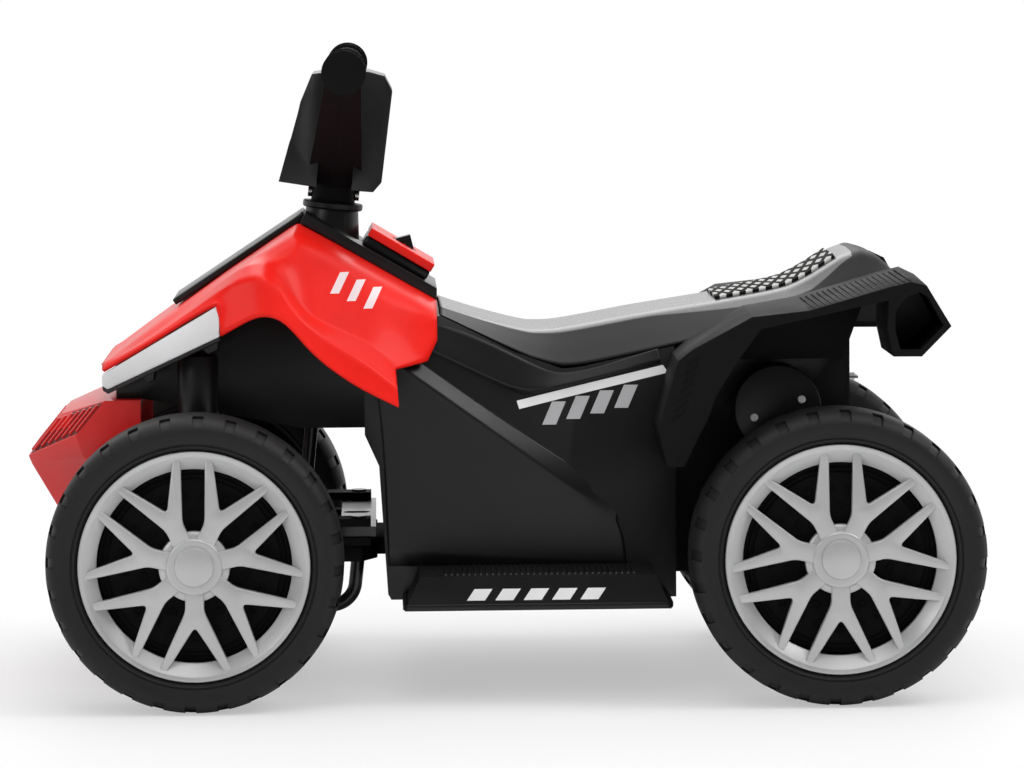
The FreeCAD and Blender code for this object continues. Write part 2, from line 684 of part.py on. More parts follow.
def head_shell(shares, depth, back_sign):
    """Hollow cover on the head: outline along the column, narrower at its nose, open towards the column."""
    def solid(wall):
        wires = []
        for side in (-1, 1):
            corners = []
            for out, up in shares:
                reach = out * (depth - wall) - wall * (out == 0)
                height = arm_low + wall + up * (head_height - 2 * wall)
                half = head_half_width - wall - (head_half_width - head_nose_half_width) * reach / depth
                corners.append(on_column(height, back_sign * (arm_top_half + reach), side * half))
            wires.append(Part.makePolygon(corners + corners[:1]))
        return Part.makeLoft(wires, True, True)

    return solid(0).cut(solid(head_wall))


def fairing_line(shares, lift):
    """Band along two points of the fairing's top line, raised by a depth."""
    (x0, z0), (x1, z1) = place(shares, fairing_rear_x, fairing_length, fairing_low_z, fairing_height)
    along = Vector(x1 - x0, 0, z1 - z0).normalize()
    up = Vector(-along.z, 0, along.x)
    if up.z < 0:
        up = -up
    return [(x0, z0), (x1, z1), (x1 + up.x * lift, z1 + up.z * lift), (x0 + up.x * lift, z0 + up.z * lift)]


def fairing_stations(wall):
    size = (fairing_rear_x, fairing_length, fairing_low_z, fairing_height)
    outlines = [(0, fairing_top_shares), (fairing_top_half, fairing_top_shares),
                (fairing_nose_half - wall, fairing_nose_shares),
                (fairing_shoulder_half - wall, fairing_shoulder_shares),
                (fairing_crease_half - wall, fairing_crease_shares), (fairing_lip_half - wall, fairing_lip_shares)]
    stations = []
    for y, shares in outlines:
        points = place(shares, *size)
        if wall:
            points = inset(points, wall)
            points = [(x, z - fairing_height * (i in fairing_low_corners)) for i, (x, z) in enumerate(points)]
        stations.append((y, points))
    return stations


def fairing_block():
    return both_sides(layered(fairing_stations(0)))


def front_fairing(body_block):
    size = (fairing_rear_x, fairing_length, fairing_low_z, fairing_height)
    shell = layered(fairing_stations(0)).cut(layered(fairing_stations(fairing_wall)))
    arch = side_prism(place(arch_shares, *size), tower_half, fairing_lip_half + overrun)
    rod_hole = Part.makeCylinder(2 * rod_radius, grip_z, on_column(-grip_z), column_up)
    return both_sides(shell.cut(arch)).cut([rod_hole, body_block])


def top_cover(block):
    """Black cover behind the bonnet's ridge, with the steering collar and the rod's upper bearing."""
    plate = side_prism(fairing_line(top_cover_shares, cover_plate_depth), -fairing_top_half, fairing_top_half)
    high = -(grip_z - collar_top_z) / math.cos(rake)
    collar = Part.makeCone(collar_base_radius, collar_top_radius, collar_height, on_column(high - collar_height),
                           column_up)
    neck_hole = Part.makeCylinder(neck_radius + move_clearance, -neck_low, on_column(neck_low - move_clearance),
                                  column_up)
    rod_hole = Part.makeCylinder(rod_radius + run_clearance, grip_z, on_column(-grip_z), column_up)
    behind = box(fairing_rear_x - overall_length, -track, 0, fairing_rear_x, track, overall_length)
    return joined([plate, collar]).cut([neck_hole, rod_hole, block, behind])


def headlight_trim(depth, out, drop):
    """Slanted strip along the fairing's front lower edge, on the left side."""
    size = (fairing_rear_x, fairing_length, fairing_low_z, fairing_height)
    front = place(trim_front_shares, *size)
    rear = place(trim_rear_shares, *size)
    wires = []
    for points, half in ((front, trim_front_half), (rear, trim_rear_half)):
        (x, low), (_, high) = points
        corners = [Vector(x, half + out, low - drop), Vector(x, half + out, high), Vector(x, half + out - depth, high),
                   Vector(x, half + out - depth, low - drop)]
        wires.append(Part.makePolygon(corners + corners[:1]))
    return Part.makeLoft(wires, True, True)


def dash_point(along, above):
    """Point in the dash's own directions: rearwards down its slope and square above its top face."""
    slope = math.hypot(dash_run, dash_fall)
    x = dash_front_x - (along * dash_run + above * dash_fall) / slope
    z = dash_top_z + (above * dash_run - along * dash_fall) / slope
    return x, z


def dash(depth, drop):
    """Inclined slab of the dash, its top face dropped below the bezel's top."""
    length = math.hypot(dash_run, dash_fall)
    corners = ((0, -drop), (length, -drop), (length, -drop - depth), (0, -drop - depth))
    return [dash_point(*corner) for corner in corners]


def dash_pieces(cover, block):
    """Plinth, red bezel and the rocker switch that tilts in the bezel's well."""
    centre = rocker_place_share * math.hypot(dash_run, dash_fall)
    half = rocker_length / 2
    outline = [(centre - half, -rocker_foot), (centre - half, 0), (centre, rocker_rise), (centre + half, 0),
               (centre + half, -rocker_foot)]
    rocker = side_prism([dash_point(*corner) for corner in outline], -rocker_width / 2, rocker_width / 2)
    pin_x, pin_z = dash_point(centre, -rocker_pin_drop)
    pin_half = rocker_width / 2 + rocker_pin_reach
    rocker = rocker.fuse(rod_y(rocker_pin_radius, pin_x, pin_z, -pin_half, pin_half)).removeSplitter()
    well_half = half + rocker_pin_reach
    well = [(centre - well_half, overrun), (centre + well_half, overrun), (centre + well_half, -rocker_well),
            (centre - well_half, -rocker_well)]
    well_side = rocker_width / 2 + move_clearance
    well_cut = side_prism([dash_point(*corner) for corner in well], -well_side, well_side)
    pin_cut = rod_y(rocker_pin_radius + run_clearance, pin_x, pin_z, -pin_half - move_clearance,
                    pin_half + move_clearance)
    bezel = side_prism(dash(bezel_depth, 0), -dash_half_width, dash_half_width).cut([well_cut, pin_cut])
    side = dash_half_width - plinth_inset
    plinth = side_prism(dash(plinth_depth, bezel_depth), -side, side).cut([cover, block])
    return bezel, plinth, rocker


def front_bumper():
    size = (bumper_rear_x, bumper_depth, bumper_low_z, bumper_height)
    nose = place(bumper_nose_shares, *size)
    flank = place(bumper_side_shares, *size)
    half = layered([(0, nose), (bumper_nose_half, nose), (bumper_side_half, flank)])
    cavity = layered([(0, inset(nose, bumper_wall)), (bumper_nose_half, inset(nose, bumper_wall)),
                      (bumper_side_half - bumper_wall, inset(flank, bumper_wall))])
    back = bumper_rear_x + bumper_depth * bumper_side_shares[5][0]
    opening = box(bumper_rear_x - overrun, 0, bumper_low_z, back + bumper_wall, tower_half,
                  bumper_low_z + bumper_height / 2)
    return both_sides(half.cut(cavity).cut(opening))


def line_height(points, x):
    """Height of a line of points at one distance along the vehicle."""
    ordered = sorted(points)
    for (x0, z0), (x1, z1) in zip(ordered, ordered[1:]):
        if x0 <= x <= x1:
            return z0 + (z1 - z0) * (x - x0) / (x1 - x0)
    return ordered[0][1] if x < ordered[0][0] else ordered[-1][1]


def body_outline(drop):
    """Side outline of the main shell: its top follows the seat's skirt, just below it."""
    skirt = place(seat_skirt_shares, seat_rear_x, seat_length, seat_low_z, seat_height)
    top = [(x, z) for x, z in skirt if rear_block_x < x]
    dash_z = body_floor_z + body_front_height
    front = place(body_front_shares, rear_block_x, body_length, body_floor_z, body_front_height)
    rear_z = line_height(skirt, rear_block_x)
    line = [(body_front_x, dash_z + drop)] + [(x, z) for x, z in reversed(top)] + [(rear_block_x, rear_z)]
    return front + [(x, z - drop - seat_rest_gap) for x, z in line]


def body_block():
    """Filled outer shape of the main shell and its foot steps."""
    outer = layered([(0, body_outline(0)), (body_top_half, body_outline(0)),
                     (body_half_width, body_outline(shoulder_drop))])
    ridge = place(ridge_shares, rear_block_x, body_length, body_floor_z, body_front_height)
    foot = [(x - ridge_facet * (i < 2), z) for i, (x, z) in enumerate(ridge)]
    panel = layered([(body_top_half, foot), (body_half_width, ridge)])
    outer = outer.fuse(panel.common(side_prism(body_outline(0), 0, body_half_width))).removeSplitter()
    step_rear = step_front_x - step_length
    step_top = body_floor_z + step_height
    step = [(step_front_x, body_floor_z), (step_front_x - step_end_run, step_top), (step_rear + step_end_run, step_top),
            (step_rear, body_floor_z)]
    steps = side_prism(step, body_half_width - body_wall / 2, step_out)
    return outer, steps, step


def opened_below(points, floor):
    """Inset outline whose lowest corners are dropped, so that a cut with it opens the underside."""
    thin = inset(points, body_wall)
    return [(x, z - step_out * (z < floor + 2 * body_wall)) for x, z in thin]


def body_shell():
    """Main shell with foot steps, front tower and rear block, open underneath."""
    outer, steps, step = body_block()
    inner = layered([(0, opened_below(body_outline(0), body_floor_z)),
                     (body_top_half - body_wall, opened_below(body_outline(0), body_floor_z)),
                     (body_half_width - body_wall, opened_below(body_outline(shoulder_drop), body_floor_z))])
    steps_hollow = side_prism(opened_below(step, body_floor_z), body_half_width, step_out - body_wall)
    block_top = rear_block_low_z + rear_block_height
    block = box(rear_wall_x, 0, rear_block_low_z, rear_block_x + body_wall / 2, rear_block_half, block_top)
    block_hollow = box(rear_wall_x + body_wall, 0, rear_block_low_z + body_wall, rear_block_x + body_wall + overrun,
                       rear_block_half - body_wall, block_top - body_wall)
    tower = tower_outline()
    tower_solid = side_prism(tower, 0, tower_half)
    tower_hollow = side_prism(inset(tower, body_wall), 0, tower_half - body_wall)
    half = joined([outer, steps, block, tower_solid])
    half = half.cut([inner, steps_hollow, block_hollow, tower_hollow])
    tube = rod_z(kingpin_tube_radius, front_axle_x, kingpin_y, tower_low_z, kingpin_tube_top)
    half = half.fuse(tube.cut(tower_hollow))
    half = half.cut(rod_z(kingpin_radius, front_axle_x, kingpin_y, tower_low_z - overrun, kingpin_tube_top))
    spacer = rod_y(rim_hub_radius, rear_axle_x, wheel_radius, move_clearance - hub_in_y, -rear_block_half)
    whole = both_sides(half).fuse(spacer)
    column = Part.makeCylinder(neck_radius, grip_z, on_column(-grip_z), column_up)
    axle = rod_y(axle_radius, rear_axle_x, wheel_radius, -track, track)
    motor_x, motor_z = motor_axis()
    motor_hole = rod_y(motor_radius, motor_x, motor_z, 0, track)
    socket = rod_y(socket_radius, socket_x, socket_z, -track, 0)
    pin = rod_y(idler_pin_radius, *train_places()[0], 0, track)
    hatch_x = battery_length / 2 + hatch_margin
    hatch_y = battery_width / 2 + hatch_margin
    hatch = box(battery_x - hatch_x, -hatch_y, body_floor_z + battery_height, battery_x + hatch_x, hatch_y, grip_z)
    return whole.cut([column, axle, motor_hole, socket, pin, hatch])


def tower_outline():
    """Inner tower under the fairing: its top follows the fairing's front top line."""
    size = (fairing_rear_x, fairing_length, fairing_low_z, fairing_height)
    (x0, z0), (x1, z1) = place(bonnet_strip_shares, *size)
    slope = (z1 - z0) / (x1 - x0)
    nose_x = bumper_rear_x + tower_nose_length
    nose_z = bumper_low_z + bumper_nose_shares[0][1] * bumper_height
    top_nose = z0 + slope * (nose_x - x0) - tower_top_drop
    top_rear = z1 - tower_top_drop
    rear = body_front_x - body_wall / 2
    ridge = place(top_cover_shares, *size)
    rear_top = line_height(ridge, rear) - tower_top_drop
    return [(rear, tower_low_z), (x1, tower_low_z), (bumper_rear_x, nose_z), (nose_x, nose_z), (nose_x, top_nose),
            (x1, top_rear), (rear, rear_top)]


def seat():
    size = (seat_rear_x, seat_length, seat_low_z, seat_height)
    top = place(seat_top_shares, *size)
    skirt = place(seat_skirt_shares, *size)
    under = [line_height(skirt, x) for x, _ in top]
    lowered = [(x, low + seat_edge_share * (z - low)) for (x, z), low in zip(top, under)]
    outer = layered([(0, top + skirt), (seat_edge_half, top + skirt), (seat_skirt_half, lowered + skirt)])
    thin = [[(x, z - seat_height * (i >= len(top))) for i, (x, z) in enumerate(inset(line + skirt, seat_wall))]
            for line in (top, lowered)]
    inner = layered([(0, thin[0]), (seat_edge_half - seat_wall, thin[0]), (seat_skirt_half - seat_wall, thin[1])])
    return both_sides(outer.cut(inner))


def seat_pad(seat_shape):
    """Raised pad: the seat's own top surface under it, lifted by the pad's depth."""
    blank = box(pad_front_x - pad_length, -pad_half_width, seat_low_z, pad_front_x, pad_half_width,
                seat_low_z + 2 * seat_height)
    size = (seat_rear_x, seat_length, seat_low_z, seat_height)
    top = place(seat_top_shares, *size)
    floor = [(x, seat_low_z) for x, _ in reversed(top)]
    slab = side_prism(top + floor, -seat_edge_half, seat_edge_half)
    return moved(slab, 0, 0, pad_depth).common(blank).cut(slab).cut(seat_shape)


def rear_fender(body_block):
    """Left fender: deck along the top line, flange at its outer edge, hollow tail, root on the rear block."""
    size = (fender_rear_x, fender_length, fender_low_z, fender_height)
    top = place(fender_top_shares, *size)
    low = place(fender_low_shares, *size)
    outline = top + low
    flange = side_prism(outline, fender_out - fender_flange, fender_out)
    ring = side_prism(outline, fender_in, fender_out)
    hollow = side_prism(inset(outline, fender_deck), fender_in - overrun, fender_out - fender_flange)
    below = side_prism([top[-1]] + low + [(low[-1][0], fender_low_z - fender_height),
                       (fender_rear_x, fender_low_z - fender_height)], fender_in - overrun, fender_out - fender_flange)
    deck = ring.cut([hollow, below])
    tail = place(fender_top_shares[6:], *size)
    tail_hollow = side_prism(inset(tail, fender_deck), fender_in - overrun, fender_out - fender_flange)
    root_front = fender_root_rear_x + fender_root_length
    root_top = fender_root_low_z + fender_root_height
    root = box(fender_root_rear_x, rear_block_half, fender_root_low_z, root_front, fender_in + fender_web, root_top)
    web = [(fender_root_rear_x, fender_root_low_z), (root_front, fender_root_low_z)] + top[2:7]
    web_plate = side_prism(web, fender_in, fender_in + fender_web)
    return joined([deck, flange, root, web_plate]).cut([tail_hollow, body_block])


def gear(module, teeth, phase, y0, y1, bore):
    """Spur gear: tooth flanks are chords of the involute, so meshed teeth keep clear."""
    pitch = module * teeth / 2
    base = pitch * math.cos(math.radians(pressure_angle))
    tip = pitch + addendum_share * module
    root = pitch - dedendum_share * module

    def roll(radius):
        share = min(base / radius, 1)
        return math.tan(math.acos(share)) - math.acos(share)

    half_pitch = math.pi / (2 * teeth) - tooth_play / (4 * pitch)
    points = []
    for i in range(teeth):
        centre = math.radians(phase) + 2 * math.pi * i / teeth
        flank = [(root, half_pitch + roll(pitch)), (max(base, root), half_pitch + roll(pitch) - roll(max(base, root))),
                 (pitch, half_pitch), (tip, half_pitch + roll(pitch) - roll(tip))]
        if base <= root:
            flank = flank[1:]
        points += [(r, centre - a) for r, a in flank] + [(r, centre + a) for r, a in reversed(flank)]
    outline = [(r * math.cos(a), r * math.sin(a)) for r, a in points]
    return side_prism(outline, y0, y1).cut(rod_y(bore, 0, 0, y0 - overrun, y1 + overrun))


def train_places():
    lean = math.radians(train_lean)
    second = second_module * (idler_small_teeth + output_teeth) / 2
    first = first_module * (pinion_teeth + idler_big_teeth) / 2
    toward = (math.sin(lean), math.cos(lean))
    idler = (rear_axle_x + toward[0] * second, wheel_radius + toward[1] * second)
    motor = (idler[0] + toward[0] * first, idler[1] + toward[1] * first)
    return idler, motor


def motor_axis():
    return train_places()[1]


def gear_train():
    """Motor pinion, two-step idler and output gear, with the case round them."""
    (idler_x, idler_z), (motor_x, motor_z) = train_places()
    aim = 90 - train_lean
    second_y = rear_block_half + gearbox_wall + gear_side_gap
    first_y = second_y + second_width + gear_side_gap
    cover_y = first_y + first_width + gear_side_gap
    out_y = cover_y + gearbox_wall
    seam_y = second_y + second_width + gear_side_gap / 2

    output = gear(second_module, output_teeth, aim, second_y, second_y + second_width, axle_radius + run_clearance)
    boss = rod_y(output_boss_radius, 0, 0, second_y + second_width, hub_in_y)
    boss = boss.cut(rod_y(axle_radius + run_clearance, 0, 0, second_y, hub_in_y + overrun))
    save(moved(output.fuse(boss), rear_axle_x, 0, wheel_radius), "output_gear")

    small = gear(second_module, idler_small_teeth, aim + 180 + 180 / idler_small_teeth, second_y,
                 second_y + second_width, idler_pin_radius + run_clearance)
    spacer = rod_y(second_module * idler_small_teeth / 2 - dedendum_share * second_module, 0, 0,
                   second_y + second_width, first_y)
    spacer = spacer.cut(rod_y(idler_pin_radius + run_clearance, 0, 0, second_y, first_y + overrun))
    big = gear(first_module, idler_big_teeth, aim, first_y, first_y + first_width, idler_pin_radius + run_clearance)
    save(moved(small.fuse([spacer, big]), idler_x, 0, idler_z), "idler_gear")

    pinion = gear(first_module, pinion_teeth, aim + 180 + 180 / pinion_teeth, first_y, first_y + first_width,
                  motor_shaft_radius)
    shaft = rod_y(motor_shaft_radius, 0, 0, rear_block_half + move_clearance, first_y + first_width)
    save(moved(pinion.fuse(shaft), motor_x, 0, motor_z), "motor_pinion")

    pin = rod_y(idler_pin_radius, idler_x, idler_z, rear_block_half, out_y)
    save(pin, "idler_pin")

    output_lobe = second_module * (output_teeth / 2 + addendum_share) + gear_tip_gap + gearbox_wall
    idler_lobe = first_module * (idler_big_teeth / 2 + addendum_share) + gear_tip_gap + gearbox_wall
    lobes = [(rear_axle_x, wheel_radius, output_lobe), (idler_x, idler_z, idler_lobe),
             (motor_x, motor_z, motor_lobe_radius)]

    def lobed(shrink, y0, y1):
        return joined([rod_y(radius - shrink, x, z, y0, y1) for x, z, radius in lobes])

    whole = lobed(0, rear_block_half, out_y).cut(lobed(gearbox_wall, rear_block_half + gearbox_wall, cover_y))
    axle_hole = rod_y(axle_radius, rear_axle_x, wheel_radius, rear_block_half - overrun, second_y)
    boss_hole = rod_y(output_boss_radius + move_clearance, rear_axle_x, wheel_radius, cover_y - overrun,
                      out_y + overrun)
    nose_hole = rod_y(motor_nose_radius, motor_x, motor_z, rear_block_half - overrun, second_y)
    whole = whole.cut([axle_hole, boss_hole, nose_hole, pin])
    reach = track
    case_side = box(rear_axle_x - reach, rear_block_half - overrun, 0, rear_axle_x + reach, seam_y, reach)
    save(whole.common(case_side), "gearbox_case")
    save(whole.cut(case_side), "gearbox_cover")

    screws = []
    for hub_x, hub_z, ring, turn in ((motor_x, motor_z, screw_ring, aim + 90), (motor_x, motor_z, screw_ring, aim - 90),
                                     (rear_axle_x, wheel_radius, output_lobe - 2 * screw_radius, aim + 120),
                                     (rear_axle_x, wheel_radius, output_lobe - 2 * screw_radius, aim - 120)):
        x = hub_x + ring * math.cos(math.radians(turn))
        z = hub_z + ring * math.sin(math.radians(turn))
        screws.append(rod_y(screw_radius, x, z, out_y, out_y + screw_height))
    save(Part.Compound(screws), "gearbox_screws")

    can = rod_y(motor_radius, motor_x, motor_z, rear_block_half - motor_length, rear_block_half)
    nose = rod_y(motor_nose_radius, motor_x, motor_z, rear_block_half, rear_block_half + gearbox_wall)
    save(can.fuse(nose).removeSplitter().cut(rod_y(motor_shaft_radius + move_clearance, motor_x, motor_z,
         rear_block_half + move_clearance / 2, first_y)), "drive_motor")


def accelerator():
    """Foot pedal on the right step, its bracket and pin; pressed, its rear edge goes down."""
    step_top = body_floor_z + step_height
    axis_z = step_top + pedal_lift + pedal_barrel_radius
    in_y = pedal_rail_y - pedal_width / 2
    out_y = pedal_rail_y + pedal_width / 2
    plate = box(pedal_front_x - pedal_length, in_y, axis_z - pedal_depth / 2, pedal_front_x, out_y,
                axis_z + pedal_depth / 2)
    barrel = rod_y(pedal_barrel_radius, pedal_front_x, axis_z, in_y, out_y)
    pedal = plate.fuse(barrel).removeSplitter()
    pedal = pedal.cut(rod_y(pedal_pin_radius + run_clearance, pedal_front_x, axis_z, in_y - overrun, out_y + overrun))
    pedal.rotate(Vector(pedal_front_x, 0, axis_z), left, pedal_tilt)
    reach = pedal_barrel_radius + pedal_ear
    ears = []
    for y in (in_y - move_clearance - pedal_ear, out_y + move_clearance):
        ears.append(box(pedal_front_x - reach, y, step_top, pedal_front_x + pedal_barrel_radius, y + pedal_ear,
                        axis_z + pedal_barrel_radius))
    base = box(pedal_front_x - reach, in_y - move_clearance, step_top, pedal_front_x + pedal_barrel_radius,
               out_y + move_clearance, step_top + pedal_lift - move_clearance)
    pin = rod_y(pedal_pin_radius, pedal_front_x, axis_z, in_y - pedal_ear, out_y + pedal_ear)
    return pedal, joined(ears + [base, pin])


def battery_pieces():
    floor = body_floor_z + floor_plate
    half = battery_width / 2
    top = floor + battery_height
    x0 = battery_x - battery_length / 2
    cell = box(x0, -half, floor, x0 + battery_length, half, top)
    s0 = battery_x - strap_width / 2
    s1 = battery_x + strap_width / 2
    outer = half + strap_thickness
    band = box(s0, -outer, floor, s1, outer, top + strap_thickness)
    feet = box(s0, -outer - strap_foot, floor, s1, outer + strap_foot, floor + strap_thickness)
    return cell, band.fuse(feet).removeSplitter().cut(cell)


def wing_screw():
    tip = rear_wall_x - wing_screw_length
    shank = Part.makeCylinder(wing_screw_radius, wing_screw_length, Vector(tip, 0, wing_screw_z), Vector(1, 0, 0))
    blade = [(tip - wing_thickness, -wing_reach), (tip + wing_height, -wing_screw_radius),
             (tip + wing_height, wing_screw_radius), (tip - wing_thickness, wing_reach)]
    wings = plan_prism(blade, wing_screw_z - wing_thickness / 2, wing_screw_z + wing_thickness / 2)
    return shank.fuse(wings).removeSplitter()


def charge_socket():
    wall_y = -body_half_width
    barrel = rod_y(socket_radius, socket_x, socket_z, wall_y, wall_y + socket_depth)
    flange = rod_y(socket_flange, socket_x, socket_z, wall_y - socket_flange_height, wall_y)
    bore = rod_y(socket_bore_radius, socket_x, socket_z, wall_y - socket_flange_height - overrun,
                 wall_y + socket_depth - socket_flange_height)
    return barrel.fuse(flange).removeSplitter().cut(bore)


def floor_pan():
    pan = box(rear_block_x, -body_half_width, body_floor_z, body_front_x, body_half_width, body_floor_z + floor_plate)
    outer = body_block()[0]
    inner = layered([(0, opened_below(body_outline(0), body_floor_z)),
                     (body_half_width - body_wall, opened_below(body_outline(shoulder_drop), body_floor_z))])
    return pan.common(both_sides(inner)).common(both_sides(outer))


wheels()
rear_axle()
gear_train()

main_block = both_sides(joined(list(body_block()[:2])))
frame, kingpins = front_axle_frame(main_block)
save(frame, "front_axle_frame")
save(kingpins, "kingpins")
knuckle_left, tie_pin, stub_axle = knuckle()
for side_name, outward in (("left", 1), ("right", -1)):
    for piece, shape in (("knuckle", knuckle_left), ("tie_pin", tie_pin), ("stub_axle", stub_axle)):
        save(shape if outward > 0 else mirrored(shape), piece + "_" + side_name)
    save(moved(nut_stack(outward), front_axle_x, outward * wheel_y, wheel_radius), "axle_nut_" + side_name)
save(tie_rod(), "tie_rod")

# Steering column: the bolt holds the half shells together and pins them to the rod.
bolt_start = on_column(bolt_drop, -neck_radius - bolt_head_height)
bolt_end = on_column(bolt_drop, neck_radius)
bolt = Part.makeCylinder(bolt_radius, 2 * (neck_radius + bolt_head_height), bolt_start, column_back)
bolt_heads = [Part.makeCylinder(bolt_head_radius, bolt_head_height, end, column_back) for end in (bolt_start, bolt_end)]
column_bolt = joined([bolt] + bolt_heads)
rod = steering_rod().cut(column_bolt)
bar_block = handlebar()
bar = bar_block.cut([rod, column_bolt])
front_half = Part.makeBox(overall_length, overall_length, overall_length,
                          Vector(0, -overall_length / 2, -overall_length / 2))
front_half.rotate(Vector(0, 0, 0), left, -column_rake)
front_half.translate(column_base)
save(column_bolt, "column_bolt")
save(rod, "steering_rod")
save(bar.common(front_half), "handlebar_front")
save(bar.cut(front_half), "handlebar_rear")
save(head_shell(mask_front_shares, mask_depth, -1).cut(bar_block), "head_mask")
save(head_shell(console_rear_shares, console_depth, 1).cut(bar_block), "head_console")

save(body_shell(), "body_shell")
save(floor_pan(), "floor_pan")
trim = headlight_trim(trim_depth, 0, 0)
backing = headlight_trim(backing_depth, -trim_depth, backing_drop)
nose_block = fairing_block()
lights = [trim, mirrored(trim), backing, mirrored(backing)]
recess = headlight_trim(trim_recess, trim_recess, 0)
save(front_fairing(main_block).cut(lights + [recess, mirrored(recess)]), "front_fairing")
save(Part.Compound(lights[:2]), "headlight_trims")
save(Part.Compound(lights[2:]), "headlight_backings")
strip = side_prism(fairing_line(bonnet_strip_shares, strip_depth), -strip_half_width, strip_half_width)
save(strip.cut(nose_block), "bonnet_strip")
ridge_cover = top_cover(nose_block)
save(ridge_cover, "top_cover")
bezel, plinth, rocker = dash_pieces(ridge_cover, nose_block)
save(bezel, "dash_bezel")
save(plinth, "dash_plinth")
save(rocker, "direction_switch")
save(front_bumper(), "front_bumper")
saddle = seat()
save(saddle, "seat")
save(seat_pad(saddle), "seat_pad")
fender = rear_fender(main_block)
save(fender, "rear_fender_left")
save(mirrored(fender), "rear_fender_right")

cell, strap = battery_pieces()
save(cell, "battery")
save(strap, "battery_strap")
pedal, bracket = accelerator()
save(pedal, "accelerator_pedal")
save(bracket, "pedal_bracket")
save(charge_socket(), "charge_socket")
save(wing_screw(), "rear_wing_screw")
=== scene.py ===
import json
import math

import bmesh
import bpy
from mathutils import Matrix, Vector
from mathutils.bvhtree import BVHTree


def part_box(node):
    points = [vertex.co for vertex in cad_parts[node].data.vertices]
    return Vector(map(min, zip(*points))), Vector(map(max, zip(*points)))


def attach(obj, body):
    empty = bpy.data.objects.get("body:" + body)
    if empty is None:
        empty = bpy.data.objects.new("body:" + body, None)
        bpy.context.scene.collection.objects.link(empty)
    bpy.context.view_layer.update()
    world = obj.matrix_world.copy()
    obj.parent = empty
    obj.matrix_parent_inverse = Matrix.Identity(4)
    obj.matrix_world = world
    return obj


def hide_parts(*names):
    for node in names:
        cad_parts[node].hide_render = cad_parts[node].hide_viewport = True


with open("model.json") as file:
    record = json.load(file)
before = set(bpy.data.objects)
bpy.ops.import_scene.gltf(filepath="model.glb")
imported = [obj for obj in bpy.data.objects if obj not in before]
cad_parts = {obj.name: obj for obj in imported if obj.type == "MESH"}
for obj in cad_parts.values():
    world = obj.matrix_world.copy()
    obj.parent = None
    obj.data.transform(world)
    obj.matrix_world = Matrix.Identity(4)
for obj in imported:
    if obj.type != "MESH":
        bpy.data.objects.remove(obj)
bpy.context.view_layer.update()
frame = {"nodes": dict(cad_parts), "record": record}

nodes = frame["nodes"]
body_of = {node: body for body, members in frame["record"]["behaviour"]["bodies"].items() for node in members}
slot_of = {piece["node"]: piece["material_slot"] for piece in frame["record"]["subparts"]}

# The studio: a white sweep that is bright behind and over the vehicle and dim before it,
# so that its black sides stay black and its upper faces catch the light.
scene = bpy.context.scene
scene.view_settings.view_transform = "Standard"
world = bpy.data.worlds.new("studio_room")
scene.world = world
world.use_nodes = True
room = world.node_tree
room.nodes.clear()


def ranged(tree, source, start, end, low=0.0, high=1.0, smooth=False):
    """Shader step that maps a value from one range to another."""
    step = tree.nodes.new("ShaderNodeMapRange")
    if smooth:
        step.interpolation_type = "SMOOTHSTEP"
    for socket, value in (("From Min", start), ("From Max", end), ("To Min", low), ("To Max", high)):
        step.inputs[socket].default_value = value
    tree.links.new(source, step.inputs["Value"])
    return step.outputs["Result"]


def combined(tree, operation, *sources):
    """Shader step that reckons with values."""
    step = tree.nodes.new("ShaderNodeMath")
    step.operation = operation
    for i, source in enumerate(sources):
        tree.links.new(source, step.inputs[i])
    return step.outputs[0]


def axes_of(tree, source):
    """Shader step that parts a vector into X, Y and Z."""
    axes = tree.nodes.new("ShaderNodeSeparateXYZ")
    tree.links.new(source, axes.inputs[0])
    return axes.outputs


direction = room.nodes.new("ShaderNodeTexCoord")
sideways = axes_of(room, direction.outputs["Generated"])["Y"]
falloff = ranged(room, sideways, 0.25, -0.35, 0.07, 1.0, smooth=True)
ray = room.nodes.new("ShaderNodeLightPath")
bounce = room.nodes.new("ShaderNodeMix")
bounce.inputs["A"].default_value = 0.55
room.links.new(ray.outputs["Is Glossy Ray"], bounce.inputs["Factor"])
room.links.new(falloff, bounce.inputs["B"])
clear = combined(room, "MAXIMUM", ray.outputs["Is Camera Ray"], ray.outputs["Is Transmission Ray"])
seen = room.nodes.new("ShaderNodeMix")
seen.inputs["B"].default_value = 1.0
room.links.new(clear, seen.inputs["Factor"])
room.links.new(bounce.outputs["Result"], seen.inputs["A"])
sky = room.nodes.new("ShaderNodeBackground")
sky.inputs["Color"].default_value = (1.0, 1.0, 1.0, 1.0)
room.links.new(seen.outputs["Result"], sky.inputs["Strength"])
room_out = room.nodes.new("ShaderNodeOutputWorld")
room.links.new(sky.outputs[0], room_out.inputs[0])


def stored(bm, name):
    """Mesh data with the form of a mesh in the making, which is given up."""
    mesh = bpy.data.meshes.new(name)
    bm.to_mesh(mesh)
    bm.free()
    return mesh


